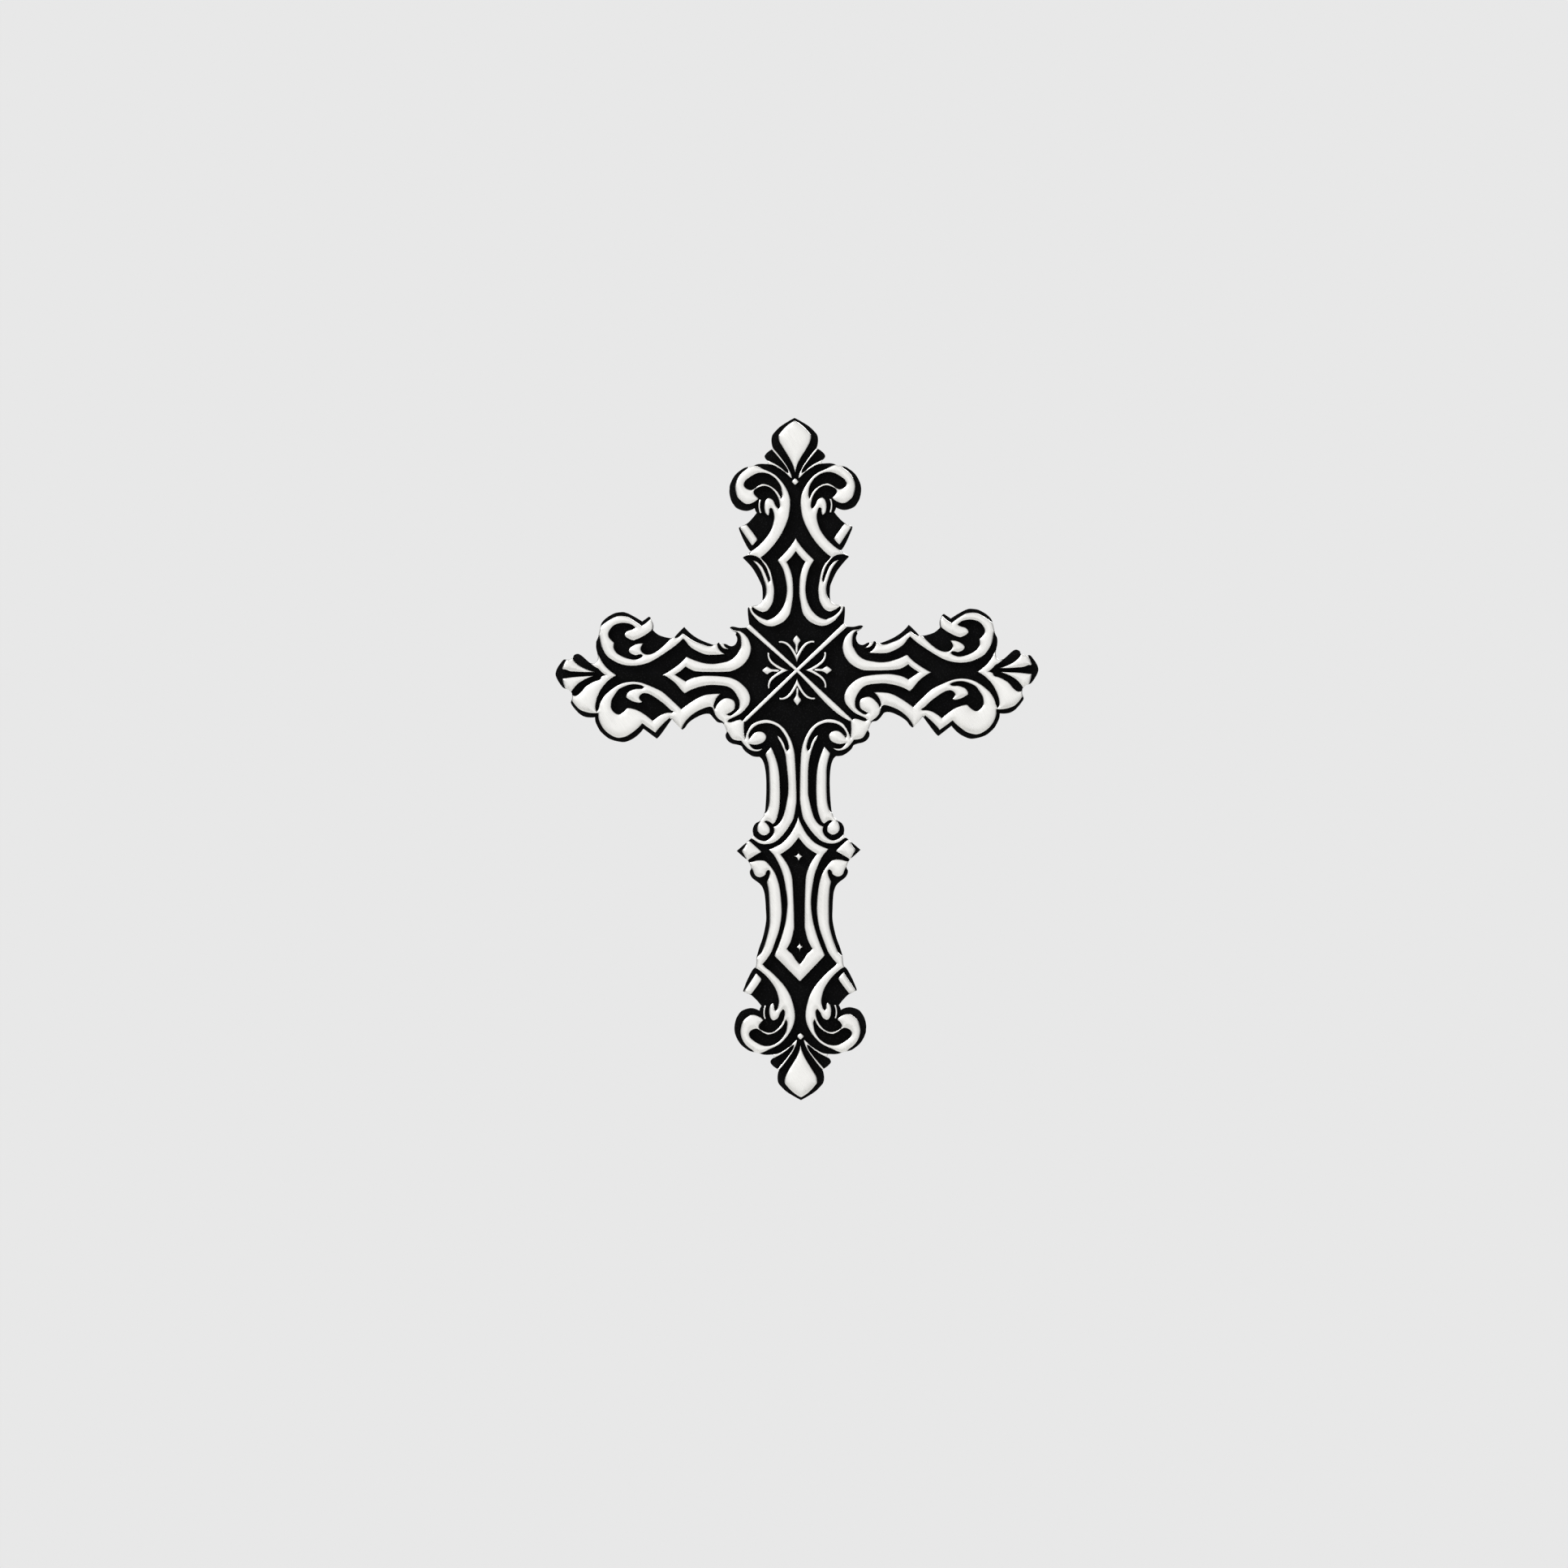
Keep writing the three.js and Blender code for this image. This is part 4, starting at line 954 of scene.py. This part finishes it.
@dataclass(frozen=True)
class SatinRelief(Surface):
    """Cast aluminium, polished by hand to a satin: pale, with soft reflections that spread a little.

    Polishing leaves hair-fine lines across the work and takes some swells a touch brighter and smoother than
    others. The real lines are a few hundredths of a millimetre wide, and are drawn wider so that they show.
    Low on the rounded edges, where the raised work meets the black ground, the colour is darkened: painted
    shade of that recess.
    """

    name: str = "satin_polished_aluminium"
    bright: str = "#f6f5f2"
    dull: str = "#e9e8e5"
    # painted shade: the colour low on the rounded edges, where the raised work meets the ground
    painted_foot_shade: str = "#8f8f8e"
    bright_tones: tuple[float, float] = (0.55, 0.95)
    smooth: float = 0.20
    rough: float = 0.36
    rough_tones: tuple[float, float] = (0.5, 1.0)
    swell_mm: float = 4.0
    line_mm: float = 0.11
    line_depth_mm: float = 0.006
    line_length: float = 16.0
    line_slant: float = math.radians(33)
    line_share: float = 0.6
    line_strength: float = 0.3
    pit_mm: float = 0.35
    pit_depth_mm: float = 0.02
    pit_strength: float = 0.18
    # depths in millimetres over which the painted shade at the foot of the rounding fades in
    foot_shade_from_mm: float = 3.74
    foot_shade_full_to_mm: float = 3.64

    def shader_inputs(self, add: AddNode, place: bpy.types.NodeSocket) -> dict[str, Any]:
        """Builds what the shader is given."""
        swell = add("ShaderNodeTexNoise", {"Vector": place, "Scale": per_metre(self.swell_mm), "Detail": 3.0})
        pit = add("ShaderNodeTexNoise", {"Vector": place, "Scale": per_metre(self.pit_mm), "Detail": 2.0})
        slanted = add(
            "ShaderNodeVectorRotate", {"Vector": place, "Angle": self.line_slant}, rotation_type="Y_AXIS"
        )
        along = add("ShaderNodeMapping", {"Vector": slanted, "Scale": (1.0, 1.0, 1 / self.line_length)})
        lines = add("ShaderNodeTexNoise", {"Vector": along, "Scale": per_metre(self.line_mm), "Detail": 2.0})
        shares = {0: lines, 1: self.line_share, 2: swell}
        tone = add("ShaderNodeMath", shares, operation="MULTIPLY_ADD", use_clamp=True)
        polished = add("ShaderNodeMapRange", {"Value": tone, **from_span(*self.bright_tones)})
        # painted shade: darkens the foot of the rounded edges, by depth
        depth = add("ShaderNodeSeparateXYZ", {0: place}).outputs["Y"]
        foot_shade_span = from_span(-self.foot_shade_from_mm * MM, -self.foot_shade_full_to_mm * MM)
        painted_foot_shade = add("ShaderNodeMapRange", {"Value": depth, **foot_shade_span})
        colour = linear(self.dull)
        for share, over in ((polished, self.bright), (painted_foot_shade, self.painted_foot_shade)):
            colour = add("ShaderNodeMix", {"Factor": share, "A": colour, "B": linear(over)}, data_type="RGBA")
        roughness = add(
            "ShaderNodeMapRange",
            {"Value": tone, **from_span(*self.rough_tones), "To Min": self.smooth, "To Max": self.rough},
        )
        normal = add(
            "ShaderNodeBump",
            {"Height": lines, "Strength": self.line_strength, "Distance": self.line_depth_mm * MM},
        )
        pitted = {"Height": pit, "Strength": self.pit_strength, "Distance": self.pit_depth_mm * MM}
        normal = add("ShaderNodeBump", {**pitted, "Normal": normal})
        return {"Base Color": colour, "Metallic": 1.0, "Roughness": roughness, "Normal": normal}


@dataclass(frozen=True)
class BlackPaint(Surface):
    """Matt black stove paint over a stippled ground: it stays dark from every side and hides small flaws.

    The stipple is grains a quarter of a millimetre apart; their tops are paler, partly rubbed paint and
    partly painted sheen. Along the back edge, handling has thinned the paint.
    """

    name: str = "matt_black_stove_paint"
    dark: str = "#030303"
    pale: str = "#0a0a0b"
    # paler tops of the grains: partly rubbed paint, partly painted sheen
    tops_wear_and_sheen: str = "#232324"
    worn: str = "#6f6f70"
    specular: float = 0.06
    smooth: float = 0.62
    rough: float = 0.78
    patch_mm: float = 2.2
    pale_span: tuple[float, float] = (0.35, 0.7)
    stipple_mm: float = 0.26
    stipple_depth_mm: float = 0.06
    stipple_strength: float = 0.7
    top_share: float = 0.32
    fray_mm: float = 0.8
    fray_depth_mm: float = 0.9
    wear_start_mm: float = 0.3
    wear_depth_mm: float = 0.35

    def shader_inputs(self, add: AddNode, place: bpy.types.NodeSocket) -> dict[str, Any]:
        """Builds what the shader is given."""
        patch = add("ShaderNodeTexNoise", {"Vector": place, "Scale": per_metre(self.patch_mm), "Detail": 4.0})
        thin = add("ShaderNodeMapRange", {"Value": patch, **from_span(*self.pale_span)})
        grain = add("ShaderNodeTexVoronoi", {"Vector": place, "Scale": per_metre(self.stipple_mm)})
        # paler grain tops: partly wear, partly painted sheen
        tops_wear_and_sheen_share = add("ShaderNodeMapRange", {"Value": grain, **from_span(self.top_share, 0.0)})
        colour = linear(self.dark)
        for share, over in ((thin, self.pale), (tops_wear_and_sheen_share, self.tops_wear_and_sheen), (self._wear(add, place), self.worn)):
            colour = add("ShaderNodeMix", {"Factor": share, "A": colour, "B": linear(over)}, data_type="RGBA")
        roughness = add(
            "ShaderNodeMapRange",
            {"Value": patch, **from_span(*NOISE_SPAN), "To Min": self.smooth, "To Max": self.rough},
        )
        height = add("ShaderNodeMath", {0: 1.0, 1: grain}, operation="SUBTRACT")
        normal = add(
            "ShaderNodeBump",
            {"Height": height, "Strength": self.stipple_strength, "Distance": self.stipple_depth_mm * MM},
        )
        inputs = {"Base Color": colour, "Roughness": roughness, "Normal": normal}
        return {**inputs, "Specular IOR Level": self.specular}

    def _wear(self, add: AddNode, place: bpy.types.NodeSocket) -> bpy.types.Node:
        """Where the paint is thin: a frayed line along the back edge.

        Args:
            add: what adds nodes to the material.
            place: the coordinates, whose Y is 0 on the back face.

        Returns:
            A node that gives 1 where the metal shows, and 0 where the paint is whole.
        """
        depth = add("ShaderNodeSeparateXYZ", {0: place}).outputs["Y"]
        noise = add("ShaderNodeTexNoise", {"Vector": place, "Scale": per_metre(self.fray_mm), "Detail": 3.0})
        fray = add(
            "ShaderNodeMath",
            {0: noise, 1: -self.fray_depth_mm * MM, 2: self.wear_start_mm * MM},
            operation="MULTIPLY_ADD",
        )
        edge = add("ShaderNodeMath", {0: depth, 1: fray}, operation="SUBTRACT")
        return add("ShaderNodeMapRange", {"Value": edge, **from_span(-self.wear_depth_mm * MM, 0.0)})


@dataclass(frozen=True)
class BlastedBack(Surface):
    """Cast aluminium as it leaves the blasting cabinet: even, dull and a little darker than the front.

    The grit's dents are about a tenth of a millimetre wide, and are drawn wider so that they show.
    """

    name: str = "blasted_cast_aluminium"
    bright: str = "#cbcbc9"
    dull: str = "#bfbfbd"
    smooth: float = 0.52
    rough: float = 0.58
    cloud_mm: float = 14.0
    grain_mm: float = 0.22
    grain_depth_mm: float = 0.03
    grain_strength: float = 0.6

    def shader_inputs(self, add: AddNode, place: bpy.types.NodeSocket) -> dict[str, Any]:
        """Builds what the shader is given."""
        cloud = add("ShaderNodeTexNoise", {"Vector": place, "Scale": per_metre(self.cloud_mm), "Detail": 6.0})
        grain = add("ShaderNodeTexNoise", {"Vector": place, "Scale": per_metre(self.grain_mm), "Detail": 2.0})
        share = add("ShaderNodeMapRange", {"Value": cloud, **from_span(*NOISE_SPAN)})
        colour = add(
            "ShaderNodeMix",
            {"Factor": share, "A": linear(self.dull), "B": linear(self.bright)},
            data_type="RGBA",
        )
        roughness = add("ShaderNodeMapRange", {"Value": share, "To Min": self.smooth, "To Max": self.rough})
        normal = add(
            "ShaderNodeBump",
            {"Height": grain, "Strength": self.grain_strength, "Distance": self.grain_depth_mm * MM},
        )
        return {"Base Color": colour, "Metallic": 1.0, "Roughness": roughness, "Normal": normal}


@dataclass(frozen=True)
class FloorPaper(Surface):
    """Plain matt paper under the cross."""

    name: str = "floor_paper"
    colour: str = "#f2f2f0"
    roughness: float = 0.8

    def shader_inputs(self, add: AddNode, place: bpy.types.NodeSocket) -> dict[str, Any]:
        """Gives the shader an even colour."""
        return {"Base Color": linear(self.colour), "Roughness": self.roughness}


@dataclass
class MemorialCross:
    """The cross: one casting that replaces the frame's solid."""

    sizes: CastingSizes = CastingSizes()
    relief: SatinRelief = SatinRelief()
    paint: BlackPaint = BlackPaint()
    back: BlastedBack = BlastedBack()
    sharp_angle: float = math.radians(42)

    def build(self, solid: bpy.types.Object) -> bpy.types.Object:
        """Builds and dresses the casting.

        Args:
            solid: the frame's solid, which gives the outlines.

        Returns:
            The finished piece.
        """
        drawn = SmoothPlan(FlatPlan(solid, self.sizes), self.sizes)
        raised = RaisedPoints(drawn, self.sizes)
        LOG.info("outlines: %d edges, %d points inside the raised work", len(drawn.edges), len(raised.points))
        flat = ReliefMesh(drawn, raised, self.sizes).make("memorial_cross")
        materials = {
            Finish.RELIEF: self.relief.material(),
            Finish.PAINT: self.paint.material(),
            Finish.BACK: self.back.material(),
        }
        piece = CrownTree(materials).apply(flat, self.sizes)
        piece.data.set_sharp_from_angle(angle=self.sharp_angle)
        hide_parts(CAD_NODE)
        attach(piece, BODY)
        return piece


@dataclass
class Studio:
    """Pale paper surroundings, a pale floor well below the cross, soft lights and the camera."""

    aim_mm: Point = (-1.85, -14.98)
    view_width_mm: float = 206.7
    front_mm: float = 3.4
    tilt: float = math.radians(0.545)
    lens_mm: float = 200.0
    sensor_mm: float = 36.0
    floor_drop: float = 0.75
    floor_radius: float = 2.0
    floor_corners: int = 96
    paper: str = "#e8e8e8"
    wall_light: tuple[Point, ...] = ((0.0, 0.28), (0.5, 0.36), (0.82, 0.80), (0.97, 1.02))
    ceiling_from: float = 0.25
    ceiling_light: float = 0.4
    softbox_side: float = 0.5
    lit_spot: tuple[float, float, float] = (0.0, 0.0, -0.012)

    def build(self) -> None:
        """Builds the surroundings, the lights and the camera."""
        self._surroundings()
        self._floor()
        self._softbox("key_softbox", place=(-0.60, -0.55, 0.60), power=5.0)
        self._softbox("back_softbox", place=(0.45, 0.65, 0.55), power=4.0)
        self._camera()

    def _surroundings(self) -> None:
        """Plain paper for the eye, and for the metal a studio that is brightest in front and behind."""
        world = bpy.data.worlds.new("paper_studio")
        bpy.context.scene.world = world
        world.use_nodes = True
        world.node_tree.nodes.clear()
        add = partial(add_node, world.node_tree)
        way = add("ShaderNodeSeparateXYZ", {0: add("ShaderNodeTexCoord").outputs["Generated"]}).outputs
        facing = add("ShaderNodeMath", {0: way["Y"]}, operation="ABSOLUTE")
        walls = add("ShaderNodeValToRGB", {"Fac": facing})
        stops = walls.color_ramp.elements
        for index, (place, grey) in enumerate(self.wall_light):
            stop = stops[index] if index < len(stops) else stops.new(place)
            stop.position = place
            stop.color = (grey, grey, grey, 1.0)
        overhead = add(
            "ShaderNodeMapRange",
            {"Value": way["Z"], "From Min": self.ceiling_from, "To Max": self.ceiling_light},
        )
        light = add("ShaderNodeVectorMath", {0: walls, 1: overhead}, operation="ADD")
        seen = add("ShaderNodeLightPath").outputs["Is Camera Ray"]
        shown = add("ShaderNodeMix", {"Factor": seen, "A": light, "B": linear(self.paper)}, data_type="RGBA")
        add("ShaderNodeOutputWorld", {"Surface": add("ShaderNodeBackground", {"Color": shown})})
        bpy.context.scene.view_settings.view_transform = "Standard"

    def _floor(self) -> None:
        """A round pale floor."""
        mesh = bpy.data.meshes.new("studio_floor")
        turns = [math.tau * k / self.floor_corners for k in range(self.floor_corners)]
        reach = self.floor_radius
        ring = [(reach * math.cos(turn), reach * math.sin(turn), -self.floor_drop) for turn in turns]
        mesh.from_pydata(ring, [], [tuple(range(len(ring)))])
        mesh.materials.append(FloorPaper().material())
        add_object(mesh.name, mesh)

    def _softbox(self, name: str, place: tuple[float, float, float], power: float) -> None:
        """Adds a square light that faces the cross.

        Args:
            name: its name.
            place: where it stands, in metres.
            power: its power in watts.
        """
        light = bpy.data.lights.new(name, "AREA")
        light.size = self.softbox_side
        light.energy = power
        lamp = add_object(name, light)
        lamp.location = place
        lamp.visible_camera = False
        lamp.rotation_euler = (Vector(self.lit_spot) - lamp.location).to_track_quat("-Z", "Y").to_euler()

    def _camera(self) -> None:
        """Adds the camera, square to the front and rolled as the drawing lies on its sheet."""
        data = bpy.data.cameras.new("camera")
        data.lens = self.lens_mm
        data.sensor_width = self.sensor_mm
        data.clip_start, data.clip_end = 0.01, 10.0
        distance = self.view_width_mm * self.lens_mm / self.sensor_mm
        camera = add_object("camera", data)
        camera.location = (self.aim_mm[0] * MM, -(distance + self.front_mm) * MM, self.aim_mm[1] * MM)
        camera.rotation_euler = (math.pi / 2, self.tilt, 0.0)
        bpy.context.scene.camera = camera


def main() -> None:
    """Builds the cross and its studio, and logs the size of the cross's mesh."""
    logging.basicConfig(level=logging.INFO, format="%(name)s: %(message)s")
    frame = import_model()
    piece = MemorialCross().build(frame["nodes"][CAD_NODE])
    LOG.info("%s: %d faces", piece.name, len(piece.data.polygons))
    Studio().build()
    LOG.info("studio: floor, lights and camera")


if __name__ == "__main__":
    main()
